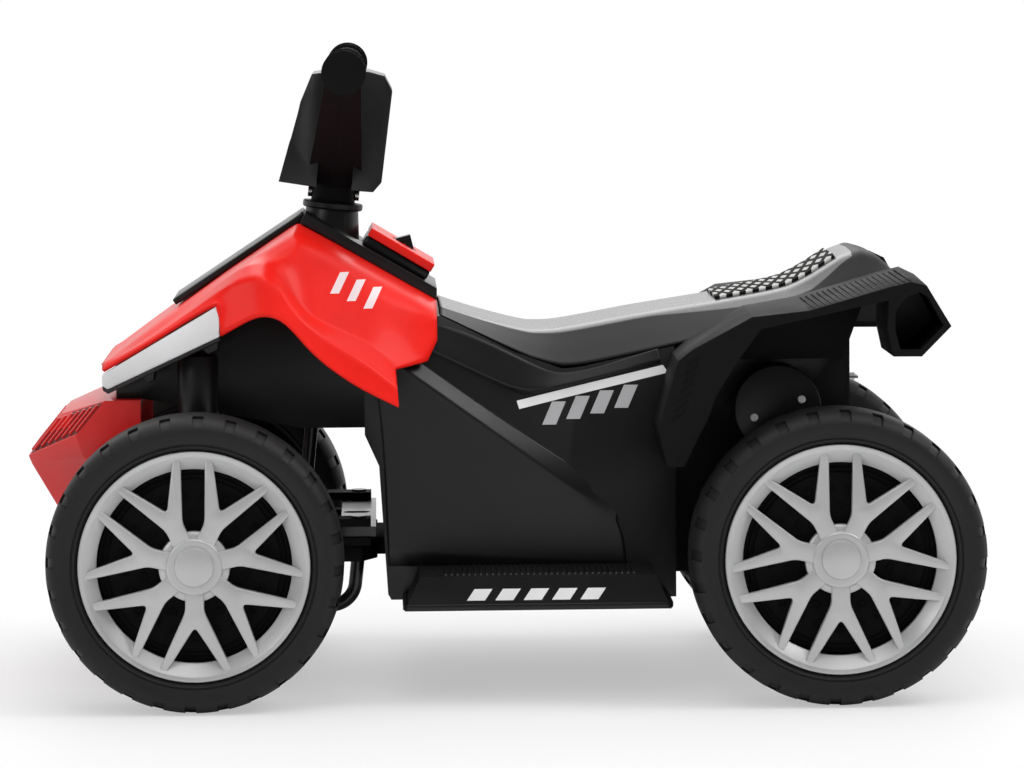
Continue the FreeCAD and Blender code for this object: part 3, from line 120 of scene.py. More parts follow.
floor_mesh = bmesh.new()
bmesh.ops.create_grid(floor_mesh, x_segments=1, y_segments=1, size=9.0)
floor_data = stored(floor_mesh, "floor")
floor = bpy.data.objects.new("floor", floor_data)
scene.collection.objects.link(floor)
floor_paper = bpy.data.materials.new("floor_paper")
floor_paper.use_nodes = True
paper = floor_paper.node_tree
paper_face = paper.nodes["Principled BSDF"]
paper_face.inputs["Base Color"].default_value = (0.86, 0.86, 0.86, 1.0)
paper_face.inputs["Roughness"].default_value = 0.6
paper_white = paper.nodes.new("ShaderNodeEmission")
paper_white.inputs["Strength"].default_value = 1.0
paper_place = paper.nodes.new("ShaderNodeTexCoord")
paper_reach = paper.nodes.new("ShaderNodeVectorMath")
paper_reach.operation = "LENGTH"
paper.links.new(paper_place.outputs["Object"], paper_reach.inputs[0])
paper_fade = ranged(paper, paper_reach.outputs["Value"], 0.35, 1.1, 0.45, 1.0, smooth=True)
paper_ray = paper.nodes.new("ShaderNodeLightPath")
paper_share = combined(paper, "MULTIPLY", paper_ray.outputs["Is Camera Ray"], paper_fade)
paper_mix = paper.nodes.new("ShaderNodeMixShader")
paper.links.new(paper_share, paper_mix.inputs[0])
paper.links.new(paper_face.outputs[0], paper_mix.inputs[1])
paper.links.new(paper_white.outputs[0], paper_mix.inputs[2])
paper.links.new(paper_mix.outputs[0], paper.nodes["Material Output"].inputs["Surface"])
floor_data.materials.append(floor_paper)


def softbox(name, place, aim, size, watts):
    """Square soft light, turned towards a point of the vehicle."""
    lamp = bpy.data.lights.new(name, "AREA")
    lamp.shape = "SQUARE"
    lamp.size = size
    lamp.energy = watts
    holder = bpy.data.objects.new(name, lamp)
    holder.location = place
    holder.rotation_euler = (Vector(aim) - Vector(place)).to_track_quat("-Z", "Y").to_euler()
    scene.collection.objects.link(holder)


softbox("overhead_softbox", (0.1, -0.1, 2.3), (0.0, 0.0, 0.2), 2.0, 18.0)
softbox("front_softbox", (1.9, 1.9, 1.3), (0.1, 0.0, 0.25), 1.0, 10.0)
softbox("fore_softbox", (-0.1, 1.6, 2.3), (0.0, 0.0, 0.2), 1.7, 12.0)
softbox("rear_softbox", (-1.75, 0.5, 2.1), (-0.1, 0.0, 0.25), 1.1, 20.0)
softbox("far_softbox", (0.0, -2.0, 1.6), (0.0, 0.0, 0.2), 1.4, 10.0)

# The camera stands at the vehicle's left, a little in front of its middle,
# far off with a long lens and slightly above the handlebar.
camera_data = bpy.data.cameras.new("camera")
camera_data.sensor_width = 36.0
camera_data.lens = 156.36
camera = bpy.data.objects.new("camera", camera_data)
scene.collection.objects.link(camera)
yaw, pitch, roll = -0.0290, 0.0908, -0.0078
ahead = Vector((math.sin(yaw) * math.cos(pitch), -math.cos(yaw) * math.cos(pitch), -math.sin(pitch)))
side = ahead.cross(Vector((0.0, 0.0, 1.0))).normalized()
above = side.cross(ahead)
across = side * math.cos(roll) + above * math.sin(roll)
upward = above * math.cos(roll) - side * math.sin(roll)
turn = Matrix((across, upward, -ahead)).transposed().to_4x4()
camera.matrix_world = Matrix.Translation((0.09083, 3.60204, 0.5625)) @ turn
scene.camera = camera

# The body: one blow-moulded black polypropylene shell, with the foot steps moulded on.
# Its outside is satin with a fine grain, and every edge is rounded by the tool.
MM = 0.001


def moulded(name, colour, roughness, grain, coat=0.0, metal=0.0, specular=0.5, streak=(1.0, 1.0, 1.0)):
    """Moulded or painted finish: faint colour drift, uneven gloss and a fine surface grain."""
    material = bpy.data.materials.new(name)
    material.use_nodes = True
    tree = material.node_tree
    surface = tree.nodes["Principled BSDF"]
    surface.inputs["Metallic"].default_value = metal
    surface.inputs["Specular IOR Level"].default_value = specular
    surface.inputs["Coat Weight"].default_value = coat
    surface.inputs["Coat Roughness"].default_value = 0.06
    where = tree.nodes.new("ShaderNodeTexCoord")
    stretch = tree.nodes.new("ShaderNodeMapping")
    stretch.inputs["Scale"].default_value = streak
    tree.links.new(where.outputs["Object"], stretch.inputs["Vector"])
    cloud = tree.nodes.new("ShaderNodeTexNoise")
    cloud.inputs["Scale"].default_value = 14.0
    cloud.inputs["Detail"].default_value = 5.0
    tree.links.new(stretch.outputs["Vector"], cloud.inputs["Vector"])
    tint = tree.nodes.new("ShaderNodeValToRGB")
    tint.color_ramp.elements[0].position = 0.3
    tint.color_ramp.elements[0].color = [c * 0.88 for c in colour] + [1.0]
    tint.color_ramp.elements[1].position = 0.7
    tint.color_ramp.elements[1].color = [min(c * 1.1, 1.0) for c in colour] + [1.0]
    tree.links.new(cloud.outputs["Fac"], tint.inputs["Fac"])
    tree.links.new(tint.outputs["Color"], surface.inputs["Base Color"])
    gloss = ranged(tree, cloud.outputs["Fac"], 0.3, 0.7, roughness * 0.86, min(roughness * 1.16, 1.0))
    tree.links.new(gloss, surface.inputs["Roughness"])
    speck = tree.nodes.new("ShaderNodeTexNoise")
    speck.inputs["Scale"].default_value = 900.0
    speck.inputs["Detail"].default_value = 2.0
    tree.links.new(where.outputs["Object"], speck.inputs["Vector"])
    bump = tree.nodes.new("ShaderNodeBump")
    bump.inputs["Strength"].default_value = grain
    bump.inputs["Distance"].default_value = 0.0004
    tree.links.new(speck.outputs["Fac"], bump.inputs["Height"])
    tree.links.new(bump.outputs["Normal"], surface.inputs["Normal"])
    return material


def finished(name, bm, finish, body, slot, stands_for=(), sharp=40.0):
    """Turns a mesh in the making into a piece of the vehicle, smooth but for its sharp edges."""
    mesh = stored(bm, name)
    mesh.materials.append(finish)
    mesh.shade_smooth()
    mesh.set_sharp_from_angle(angle=math.radians(sharp))
    piece = bpy.data.objects.new(name, mesh)
    scene.collection.objects.link(piece)
    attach(piece, body)
    if stands_for:
        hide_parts(*stands_for)
    return piece


def rounded(bm, edges, width, segments, slide=False):
    """Rounds edges by a width in millimetres, or chamfers them with one segment."""
    bmesh.ops.bevel(bm, geom=edges, offset=width * MM, offset_type="OFFSET", affect="EDGES",
                    segments=segments, profile=0.5, material=-1, clamp_overlap=True, loop_slide=slide)


def softened(node, radius, finish, sharp=20.0, segments=2, broad=0.0, where=None, carve=None):
    """A moulding with a solid's shape, carved if need be, some edges chamfered and all of them rounded."""
    bm = bmesh.new()
    bm.from_mesh(nodes[node].data)
    bmesh.ops.remove_doubles(bm, verts=bm.verts, dist=0.00001)
    bmesh.ops.dissolve_limit(bm, angle_limit=math.radians(1.0), verts=bm.verts, edges=bm.edges,
                             use_dissolve_boundaries=False)
    if carve:
        carve(bm)
    if broad:
        chosen = [edge for edge in bm.edges if where(edge.verts[0].co / MM) and where(edge.verts[1].co / MM)
                  and edge.calc_face_angle(0.0) > math.radians(sharp)]
        rounded(bm, chosen, broad, 1, slide=True)
    edges = [edge for edge in bm.edges if len(edge.link_faces) == 2
             and edge.calc_face_angle(0.0) > math.radians(sharp)]
    rounded(bm, edges, radius, segments, slide=True)
    return finished(node + "_moulding", bm, finish, body_of[node], slot_of[node], (node,))


def bridged(rows):
    """A sheet through rows of points in millimetres, each row as long as the next."""
    bm = bmesh.new()
    strings = []
    for row in rows:
        corners = [bm.verts.new([value * MM for value in point]) for point in row]
        strings.append([bm.edges.new(pair) for pair in zip(corners, corners[1:])])
    for inner, outer in zip(strings, strings[1:]):
        bmesh.ops.bridge_loops(bm, edges=inner + outer)
    return bm


def both_flanks(bm):
    """Adds the mirrored right side, and turns every face outwards."""
    bmesh.ops.mirror(bm, geom=bm.verts[:] + bm.edges[:] + bm.faces[:], axis="Y", merge_dist=0.0001)
    bmesh.ops.remove_doubles(bm, verts=bm.verts, dist=0.00001)
    bmesh.ops.recalc_face_normals(bm, faces=bm.faces)


def creased(bm, rows, corners=(), reach=0.3):
    """Keeps edges along some rows of a sheet, and some corner points, crisp when it is smoothed."""
    line_crease = bm.edges.layers.float.new("crease_edge")
    point_crease = bm.verts.layers.float.new("crease_vert")

    def lies_on(vert, points):
        """True for a vertex at one of some points of the left flank, or at its mirror image."""
        place = Vector((vert.co.x, abs(vert.co.y), vert.co.z)) / MM
        return any((place - Vector(point)).length < reach for point in points)

    for row, weight in rows:
        on_row = {vert for vert in bm.verts if lies_on(vert, row)}
        for edge in bm.edges:
            if on_row.issuperset(edge.verts):
                edge[line_crease] = weight
    for vert in bm.verts:
        if lies_on(vert, corners):
            vert[point_crease] = 1.0


def smoothed(piece, levels, wall):
    """Rounds a sheet between its creases and gives it the wall of its moulding, inwards."""
    rounding = piece.modifiers.new("rounding", "SUBSURF")
    rounding.levels = rounding.render_levels = levels
    rounding.boundary_smooth = "PRESERVE_CORNERS"
    thick = piece.modifiers.new("wall", "SOLIDIFY")
    thick.thickness = wall * MM
    thick.offset = -1.0


black = moulded("black_polypropylene", (0.0065, 0.0065, 0.007), 0.34, 0.12, specular=0.36)


def lowered_block(bm):
    """Eases the front corners of the rear block's top, which lie close under the seat."""
    for vert in bm.verts:
        x, y, z = vert.co / MM
        if -165 < x < -120 and abs(abs(y) - 95) < 3 and 278 < z < 285:
            vert.co.z -= 7 * MM


body_skin = softened("body_shell", 2.4, black, carve=lowered_block)

# The diagonal swage on each flank: the lower panel stands proud of the upper one along it,
# and a slanted face joins the two and runs out above the rear of the step.
tread_seam = 101.6
swage_top = [(92, 112, 284), (58, 111, 261), (0, 111.5, 218.5), (-60, 113.5, 179), (-86, 116, 162),
             (-99, 117.4, 150)]
swage_edge = [(104, 121, 281), (77, 121.4, 260), (15, 121.8, 215.5), (-46, 121.2, 171), (-72, 119.4, 152),
              (-92, 118.06, 140)]
swage_mid = [(x - 1, y - 0.3, z - 8) for x, y, z in swage_edge[:-1]] + [(-94, 118.06, 132)]
swage_low = [(92.4, 118.2, 226), (74, 120.4, 205), (12, 120.2, 168), (-46, 119.4, 140), (-72, 118.6, 130),
             (-98, 118.05, 124)]
swage_foot = [(x, y, tread_seam) for x, y in (
    (88.6, 118.1), (72, 118.3), (12, 118.3), (-46, 118.2), (-74, 118.1), (-100, 118.05))]


def flank_sheet(name, rows, edges):
    """Thin sheet over both flanks, faced outwards, with crisp edges along some of its rows."""
    sheet = bridged(rows)
    both_flanks(sheet)
    for face in sheet.faces:
        if face.normal.y * face.calc_center_median().y < 0:
            face.normal_flip()
    creased(sheet, edges)
    smoothed(finished(name, sheet, black, "chassis", "black_plastic", sharp=60.0), 3, 0.7)


flank_sheet("flank_swages", (swage_top, swage_edge, swage_mid, swage_low, swage_foot),
            ((swage_edge[:-1], 0.75), (swage_top[:-1], 0.6)))

# The shoulder below the seat on each flank: a slanted facet of the shell from the seat's foot
# down to a soft crease, which dies away towards the rear fender.
shoulder_top = [(50, 104.6, 294), (20, 104.9, 284), (-16, 104.9, 266), (-38, 105.1, 254.5),
                (-52, 104.8, 251.5), (-80, 104.9, 257), (-112, 104.5, 267), (-126, 104.4, 271)]
shoulder_crease = [(56, 110.6, 273.7), (20, 111.4, 256), (-17, 112.2, 238.4), (-34, 110.8, 240.3),
                   (-52, 109.4, 244), (-80, 108.6, 250.3), (-112, 108, 258.3), (-128, 107.4, 262)]
shoulder_foot = [(56, 108.2, 269.6), (20, 108.3, 252.2), (-17, 108.6, 234.2), (-34, 107.5, 236.8),
                 (-52, 106.2, 240.4), (-80, 105.6, 247.2), (-112, 105.4, 255.2), (-128, 105.5, 258.8)]
flank_sheet("flank_shoulders", (shoulder_top, shoulder_crease, shoulder_foot), ((shoulder_crease, 0.6),))

# The foot steps: thirty-three cross ribs moulded on each tread keep shoes from slipping,
# and a flange runs round the foot of the step.
step_low, step_high = Vector((-131, 118, 75)), Vector((76, 185, 102))


def rib(bm, start, end, width, height, up):
    """One moulded rib with a tapered crown, from start to end, standing up from a surface."""
    start, end, up = Vector(start) * MM, Vector(end) * MM, Vector(up).normalized()
    along = end - start
    over = up.cross(along).normalized()
    up = along.cross(over).normalized()
    form = Matrix((along, over * width * MM, up * height * MM)).transposed().to_4x4()
    middle = (start + end) / 2
    form.translation = middle
    made = bmesh.ops.create_cube(bm, size=1.0, matrix=form)["verts"]
    for vert in made:
        if (vert.co - middle).dot(up) > 0:
            vert.co -= over * (vert.co - middle).dot(over) * 0.45
            vert.co -= along.normalized() * math.copysign(height * MM * 0.6, (vert.co - middle).dot(along))


def new_verts(made):
    """Vertices among what a mesh operator has made."""
    return [item for item in made["geom"] if isinstance(item, bmesh.types.BMVert)]


treads = bmesh.new()
tread_count, tread_front, tread_run = 33, 44.0, 146.0
for i in range(tread_count):
    x = tread_front - tread_run * i / (tread_count - 1)
    for flank_side in (1, -1):
        inner, outer = (Vector((x, flank_side * y, step_high.z)) for y in (123, 180))
        rib(treads, inner, outer, 2.5, 2.6, (0, 0, 1))
bmesh.ops.recalc_face_normals(treads, faces=treads.faces)
finished("step_treads", treads, black, "chassis", "black_plastic")
flange = bmesh.new()
flange_reach, flange_inner, flange_outer = 1.6, 120, 186.4
flange_gap, flange_height = 0.0002, 0.0052
rear_x, front_x = step_low.x - flange_reach, step_high.x + flange_reach
for flank_side in (1, -1):
    path = [(rear_x, flange_inner), (rear_x, flange_outer), (front_x, flange_outer), (front_x, flange_inner)]
    foot_z = step_low.z * MM + flange_gap
    corners = [flange.verts.new((x * MM, flank_side * y * MM, foot_z)) for x, y in path]
    skirt = [flange.edges.new(pair) for pair in zip(corners, corners[1:])]
    raised = bmesh.ops.extrude_edge_only(flange, edges=skirt)
    bmesh.ops.translate(flange, verts=new_verts(raised), vec=(0.0, 0.0, flange_height))
uprights = [e for e in flange.edges if abs(e.verts[0].co.z - e.verts[1].co.z) > 0.004 and not e.is_boundary]
rounded(flange, uprights, 7.0, 4)
for face in flange.faces:
    middle = face.calc_center_median()
    step_core = Vector((-0.027, math.copysign(0.14, middle.y), 0.077))
    if face.normal.dot(middle - step_core) < 0:
        face.normal_flip()
step_flange = finished("step_flanges", flange, black, "chassis", "black_plastic")
flange_wall = step_flange.modifiers.new("wall", "SOLIDIFY")
flange_wall.thickness = 0.0036
flange_wall.offset = -1.0
flange_round = step_flange.modifiers.new("rounding", "BEVEL")
flange_round.width = 0.001
flange_round.segments = 2

# The front fairing: one glossy red shell over both front wheels, drawn out to a nose.
# A flared band with a crease on each side of it runs round each wheel arch.
red = moulded("red_gloss_shell", (0.82, 0.013, 0.008), 0.34, 0.02, coat=0.04, specular=0.16)
ridge_half = 60
top_line = [(x, ridge_half, z) for x, z in (
    (315, 260), (287, 281), (261, 299.5), (238, 315.5), (218, 330), (204, 339.5), (191, 348), (180, 355.5),
    (170, 362), (162, 367.6), (157, 370), (146, 364.2), (126, 353), (99, 337.5), (73, 322.4), (47.9, 308))]
crease_line = [(313, 88, 262), (285, 98, 277), (258, 108, 296), (236, 116, 313), (216, 122, 329),
               (203, 126, 338.5), (190, 128, 343.5), (179, 129, 341.5), (170, 130, 333), (163, 131, 322),
               (156, 132, 310.5), (146, 133, 300), (128, 134, 292.5), (108, 136, 284), (92, 138, 272),
               (81, 139, 260)]
band_line = [(313, 92, 260), (285, 110, 276), (258, 124, 294), (236, 136, 309.5), (217.5, 143, 323),
             (204, 148, 331), (191, 151, 334.5), (182, 153, 333), (174, 155, 327.5), (167, 156, 319),
             (160, 157, 308.5), (149, 158, 295.5), (130, 159, 282), (110, 160, 269.5), (94, 161, 258),
             (80, 162, 247)]
lip_line = [(313, 95, 257.5), (284, 112.5, 275), (258, 127.5, 292), (235, 141, 306), (217.4, 150.6, 315),
            (217.4, 152.6, 288), (204, 157, 296), (190, 160, 303.5), (178, 162, 304), (167, 163, 299.5),
            (156, 164, 288), (145, 165, 274.5), (127, 165, 259), (107, 165, 246), (92, 165, 238.5),
            (79, 165, 232)]


def between(drop, out):
    """Row of the side panel, by its share of the way down and of the way out."""
    return [(p[0] + drop * (q[0] - p[0]), p[1] + out * (q[1] - p[1]), p[2] + drop * (q[2] - p[2]))
            for p, q in zip(top_line, crease_line)]


haunch_line = between(0.09, 0.48)[:-2] + [(72, 93, 317.6), (47.9, 93, 303.6)]
shoulder_line = between(0.24, 0.64)[:-2] + [(73, 106, 311), (48.2, 107, 297)]
flank_line = between(0.42, 0.73)[:-2] + [(77, 114, 302), (48.2, 110.5, 279.5)]
panel_line = between(0.68, 0.85)[:-2] + [(84, 124, 288), (56, 118, 264)]
middle_line = [(x, 0, z) for x, _, z in top_line]
shell = bridged((middle_line, top_line, haunch_line, shoulder_line, flank_line, panel_line, crease_line,
                 band_line, lip_line))
both_flanks(shell)
rear_corners = [line[-1] for line in (crease_line, panel_line, flank_line, shoulder_line)]
creased(shell, ((top_line, 0.85), (crease_line, 0.8), (band_line, 0.75)),
        [lip_line[0], lip_line[4], lip_line[5], top_line[10]] + rear_corners)
fairing = finished("front_fairing_shell", shell, red, "chassis", "red_plastic", ("front_fairing",),
                   sharp=60.0)
smoothed(fairing, 3, 3.0)

# The headlight trims: pale silver plates clipped over black backings along the nose,
# with the backings' clip tabs showing below.
trim_silver = moulded("pale_silver_trim", (0.74, 0.74, 0.75), 0.42, 0.03)
nose_x = 313
for node, finish, corner_top in (("headlight_trims", trim_silver, 242), ("headlight_backings", black, 238)):
    softened(node, 0.9, finish, broad=5.0,
             where=lambda point: abs(point.x - nose_x) < 1 and point.z < corner_top)
tabs = bmesh.new()
for x, y, z, length in ((224, 139, 278, 14), (274, 110.5, 253, 11)):
    for flank_side in (1, -1):
        middle = Vector((x, flank_side * y, z))
        half = Vector((length * 0.5, -flank_side * length * 0.29, -length * 0.25))
        rib(tabs, middle + half, middle - half, 5.0, 7.0, (0, flank_side * 0.2, -1))
bmesh.ops.recalc_face_normals(tabs, faces=tabs.faces)
finished("headlight_tabs", tabs, black, "chassis", "black_plastic")

# The bonnet strip and the top cover: black mouldings set on the fairing's ridge.
# The cover carries the steering collar, which ends in a thicker ring.
strip_end = 0.172
strip_growth = Vector((-0.0036, 0.0, 0.0025))


def lengthened(bm):
    """Draws the strip's upper end out until it meets the cover."""
    for vert in bm.verts:
        if vert.co.x < strip_end:
            vert.co += strip_growth


softened("bonnet_strip", 0.9, black, carve=lengthened)
softened("top_cover", 1.5, black, segments=3)


def turned(profile, steps):
    """Body of revolution about the Y axis, from a closed profile of radius and distance outwards."""
    bm = bmesh.new()
    corners = [bm.verts.new((radius * MM, out * MM, 0.0)) for radius, out in profile]
    edges = [bm.edges.new(pair) for pair in zip(corners, corners[1:] + corners[:1])]
    bmesh.ops.spin(bm, geom=corners + edges, cent=(0, 0, 0), axis=(0, 1, 0), angle=2 * math.pi, steps=steps,
                   use_merge=True)
    bmesh.ops.remove_doubles(bm, verts=bm.verts, dist=0.000005)
    bmesh.ops.recalc_face_normals(bm, faces=bm.faces)
    return bm


def swung(bm, angle, axis):
    """Turns a whole form about an axis through the origin."""
    bmesh.ops.rotate(bm, verts=bm.verts, cent=(0, 0, 0), matrix=Matrix.Rotation(angle, 3, axis))


column_lean = math.atan2(127.0 - 131.0, 412.0 - 375.0)
collar_profile = [(20.2, -4.5), (23.2, -4.5), (24.2, -3.5), (24.2, 0.2), (23.4, 1.0), (20.8, 1.0),
                  (20.2, 0.4)]
collar_ring = turned(collar_profile, 48)
swung(collar_ring, math.pi / 2, "X")
swung(collar_ring, column_lean, "Y")
bmesh.ops.translate(collar_ring, verts=collar_ring.verts, vec=(0.1302, 0.0, 0.3832))
finished("collar_ring", collar_ring, black, "chassis", "black_plastic")

# The dash: a black plinth, a red bezel pad with softly rounded edges, and the wedge-shaped
# rocker that chooses forward or reverse.
softened("dash_plinth", 1.8, black)
softened("dash_bezel", 2.8, red, segments=4)
softened("direction_switch", 0.7, black)

# The bumper: a red hollow moulding in front, its slanted upper faces closed by fine upright slats.
# It hangs under the lip of the body's front.
bumper_red = moulded("red_satin_bumper", (0.64, 0.012, 0.010), 0.36, 0.03, coat=0.08)
softened("front_bumper", 1.6, bumper_red)
# Painted shade: a dark maroon sheet lies across the slanted faces just under the slats, standing for the
# shaded hollow that shows between them.
slat_gap_shade = moulded("slat_gaps_painted_shade", (0.10, 0.008, 0.010), 0.5, 0.05)
slats = bmesh.new()
low_in, high_in = Vector((375, 55, 186)), Vector((348, 55, 219))
low_out, high_out = Vector((334, 95, 206)), Vector((312, 95, 233))
corner_up = (high_in - low_in).cross(low_out - low_in)
corner_up *= math.copysign(1.0, corner_up.x)
sunk_out = corner_up.normalized() * 0.25
to_middle = Vector((1, 0, 1))
recess_low, recess_high = (
    [(inner + sunk_out) * to_middle, inner.lerp(outer, 0.02) + sunk_out, outer + sunk_out]
    for inner, outer in ((low_in, low_out), (high_in, high_out)))
recess = bridged(([p.lerp(q, 0.05) for p, q in zip(recess_low, recess_high)],
                  [p.lerp(q, 0.95) for p, q in zip(recess_low, recess_high)]))
both_flanks(recess)
for face in recess.faces:
    if face.normal.x < 0:
        face.normal_flip()
finished("bumper_gap_shade_sheet", recess, slat_gap_shade, "chassis", "red_plastic", sharp=60.0)
slat_foot, slat_head, slat_width, slat_height = 0.08, 0.92, 3.0, 3.2
corner_slats, front_slats, front_half, front_up = 7, 19, 51.0, (33, 0, 27)
for i in range(corner_slats):
    share = 0.06 + 0.88 * i / (corner_slats - 1)
    start = low_in.lerp(low_out, share)
    end = high_in.lerp(high_out, share)
    for flank_side in (1, -1):
        flip = Vector((1, flank_side, 1))
        rib(slats, start.lerp(end, slat_foot) * flip, start.lerp(end, slat_head) * flip,
            slat_width, slat_height, corner_up * flip)
for i in range(front_slats):
    place = Vector((0, -front_half + 2 * front_half * i / (front_slats - 1), 0))
    start = low_in * to_middle + place
    end = high_in * to_middle + place
    rib(slats, start.lerp(end, slat_foot), start.lerp(end, slat_head), slat_width, slat_height, front_up)
bmesh.ops.recalc_face_normals(slats, faces=slats.faces)
finished("bumper_slats", slats, bumper_red, "chassis", "red_plastic")

# The seat: a hard moulded black saddle that lifts at its front edge. Its glossy top carries a painted sheen,
# a lighter streaky grey in its colour that stands for the backdrop's reflection, between matt black sides.
# Its rear kicks up to a backstop, behind which it turns down to a short tail.
seat_painted_sheen = moulded("seat_top_painted_sheen", (0.09, 0.09, 0.091), 0.26, 0.03, streak=(0.6, 9.0, 9.0))
seat_tree = seat_painted_sheen.node_tree


def blended(tree, share, socket, other):
    """Carries one input of a finish over from what feeds it to another colour or value."""
    surface = tree.nodes["Principled BSDF"]
    mix = tree.nodes.new("ShaderNodeMix")
    if socket == "Base Color":
        mix.data_type = "RGBA"
    tree.links.new(share, mix.inputs["Factor"])
    tree.links.new(surface.inputs[socket].links[0].from_socket, mix.inputs["A"])
    mix.inputs["B"].default_value = other
    tree.links.new(mix.outputs["Result"], surface.inputs[socket])


# Painted sheen: the top keeps the lighter grey that stands for the reflection. Past the sheen's edge, which
# widens towards the rear and ends at the crest, the sides and the underside turn matt black.
seat_where = seat_tree.nodes.new("ShaderNodeTexCoord")
seat_axes = axes_of(seat_tree, seat_where.outputs["Object"])
along_seat = seat_axes["X"]
sheen_half = ranged(seat_tree, along_seat, -0.125, -0.215, 0.064, 0.076)
kick_narrowing = ranged(seat_tree, along_seat, -0.250, -0.288, 0.0, 0.016)
crest_end = ranged(seat_tree, along_seat, -0.2845, -0.2865, 0.0, 0.09)
for narrowing in (kick_narrowing, crest_end):
    sheen_half = combined(seat_tree, "SUBTRACT", sheen_half, narrowing)
off_middle = combined(seat_tree, "ABSOLUTE", seat_axes["Y"])
past_sheen = combined(seat_tree, "SUBTRACT", off_middle, sheen_half)
seat_side = ranged(seat_tree, past_sheen, -0.001, 0.001)
seat_facing = axes_of(seat_tree, seat_where.outputs["Normal"])
seat_underside = ranged(seat_tree, seat_facing["Z"], 0.0, 0.1, 1.0, 0.0)
seat_dark = combined(seat_tree, "MAXIMUM", seat_side, seat_underside)
blended(seat_tree, seat_dark, "Base Color", (0.006, 0.006, 0.0065, 1.0))
blended(seat_tree, seat_dark, "Roughness", 0.5)
seat_specular = seat_tree.nodes["Principled BSDF"].inputs["Specular IOR Level"]
seat_tree.links.new(ranged(seat_tree, seat_dark, 0.0, 1.0, 0.5, 0.2), seat_specular)
seat_x = [45.2, 20, -19, -35, -57, -110, -173, -225, -243, -266, -283, -297, -312, -321]
seat_top = [303.5, 295.3, 284.6, 282.9, 285.3, 295.2, 304.6, 313.4, 319.4, 334, 344.6, 345, 336, 324]
seat_foot = [299.4, 286.8, 267.6, 261.6, 256.6, 267.4, 281, 292, 295.8, 300, 304.6, 308, 312.6, 315.2]


def eased(heights, reach=7.0):
    """Seat line in X and Z with each inner corner cut back, so that it rounds only there."""
    points = [Vector((x, z)) for x, z in zip(seat_x, heights)]
    line = [points[0]]
    for before, at, after in zip(points, points[1:], points[2:]):
        for other in (before, after):
            share = min(reach / max(abs(at.x - other.x), 1.0), 0.42)
            line.append(at.lerp(other, share))
    return line + [points[-1]]


seat_section = ((0, 0.0), (40, 0.0), (54, 0.015), (62, 0.08), (67, 0.19), (76, 0.37), (85, 0.55), (99, 0.86),
                (103, 0.93), (103, 1.0))
seat_rows = [(y, [t + drop * (f - t) for t, f in zip(seat_top, seat_foot)]) for y, drop in seat_section]
saddle = bridged([[(p.x, y, p.y) for p in eased(heights)] for y, heights in seat_rows])
both_flanks(saddle)
seat_shell = finished("seat_moulding", saddle, seat_painted_sheen, body_of["seat"], slot_of["seat"], ("seat",),
                      sharp=60.0)
smoothed(seat_shell, 2, 3.0)

# The seat pad: a thin black anti-slip mat with a grid of small pale lozenges pressed into it,
# glued on the hollow of the seat.
pad_black = moulded("pad_rubber", (0.006, 0.006, 0.006), 0.85, 0.3, specular=0.15)
pad_tree = pad_black.node_tree
pad_where = pad_tree.nodes.new("ShaderNodeTexCoord")
pad_turn = pad_tree.nodes.new("ShaderNodeMapping")
pad_turn.inputs["Rotation"].default_value = (0.0, 0.0, math.radians(45.0))
pad_turn.inputs["Scale"].default_value = (134.0, 32.0, 134.0)
pad_tree.links.new(pad_where.outputs["Object"], pad_turn.inputs["Vector"])
pad_cell = pad_tree.nodes.new("ShaderNodeVectorMath")
pad_cell.operation = "FRACTION"
pad_tree.links.new(pad_turn.outputs["Vector"], pad_cell.inputs[0])
pad_axes = axes_of(pad_tree, pad_cell.outputs["Vector"])
pad_mark = combined(pad_tree, "MULTIPLY", *(ranged(pad_tree, pad_axes[axis], 0.42, 0.46) for axis in "XY"))
blended(pad_tree, pad_mark, "Base Color", (0.55, 0.55, 0.54, 1.0))
pad_line = [p for p in eased(seat_top) if -271 < p.x < -178]
pad_line = [Vector((-176, 305.3))] + pad_line + [Vector((-271.5, 337.6))]
pad_thickness = 3.0
pad_section = ((-46, 0.9), (-43, 0), (-22, 0), (0, 0), (22, 0), (43, 0), (46, 0.9))
pad_rows = [[(p.x, y, p.y + pad_thickness - sag) for p in pad_line] for y, sag in pad_section]
pad = bridged(pad_rows)
bmesh.ops.recalc_face_normals(pad, faces=pad.faces)
if sum(face.normal.z for face in pad.faces) < 0:
    bmesh.ops.reverse_faces(pad, faces=pad.faces)
seat_pad = finished("seat_pad_mat", pad, pad_black, body_of["seat_pad"], slot_of["seat_pad"], ("seat_pad",),
                    sharp=60.0)
smoothed(seat_pad, 2, 3.0)

# The rear fenders: black guards over the rear wheels, whose tops slope down outwards, with boxed tails.
# Ribs cross the top above the wheel, and a slanted rib patch marks each leg.
fender_outer = 190.0
rim_line = [(-348, 293), (-329, 324.5), (-316.4, 327.5), (-299.4, 323.5), (-237.9, 306), (-193.6, 301.5),
            (-148, 277), (-137, 268), (-121, 215)]
top_slope = [((-316.4, 341.0), 334.0, 327.5), ((-315.5, 336.7), 329.7, 323.6),
             ((-299.4, 337.0), 330.0, 323.5), ((-300.4, 333.1), 326.1, 320.0),
             ((-297.7, 332.3), 325.3, 325.0), ((-237.9, 319.0), 312.0, 306.0),
             ((-238.8, 315.1), 308.0, 304.7), ((-193.6, 311.5), 304.5, 301.5),
             ((-195.3, 307.8), 300.8, 298.0), ((-328.9, 330.9), 328.0, 324.5),
             ((-325.7, 328.4), 325.4, 321.5)]


def on_rim(point):
    """True at the corners of a fender's outer rim, which has a broad chamfer."""
    on_wall = abs(abs(point.y) - fender_outer) < 0.6
    return on_wall and any(abs(point.x - x) + abs(point.z - z) < 3 for x, z in rim_line)


fender_black = moulded("fender_polypropylene", (0.0065, 0.0065, 0.007), 0.62, 0.15, specular=0.09)
tail_mouth = [(-304.5, 305), (-314, 316.5), (-323.5, 319.5), (-329.5, 316), (-342, 293.6), (-324.4, 275.2),
              (-308.5, 275.2), (-304.5, 290)]


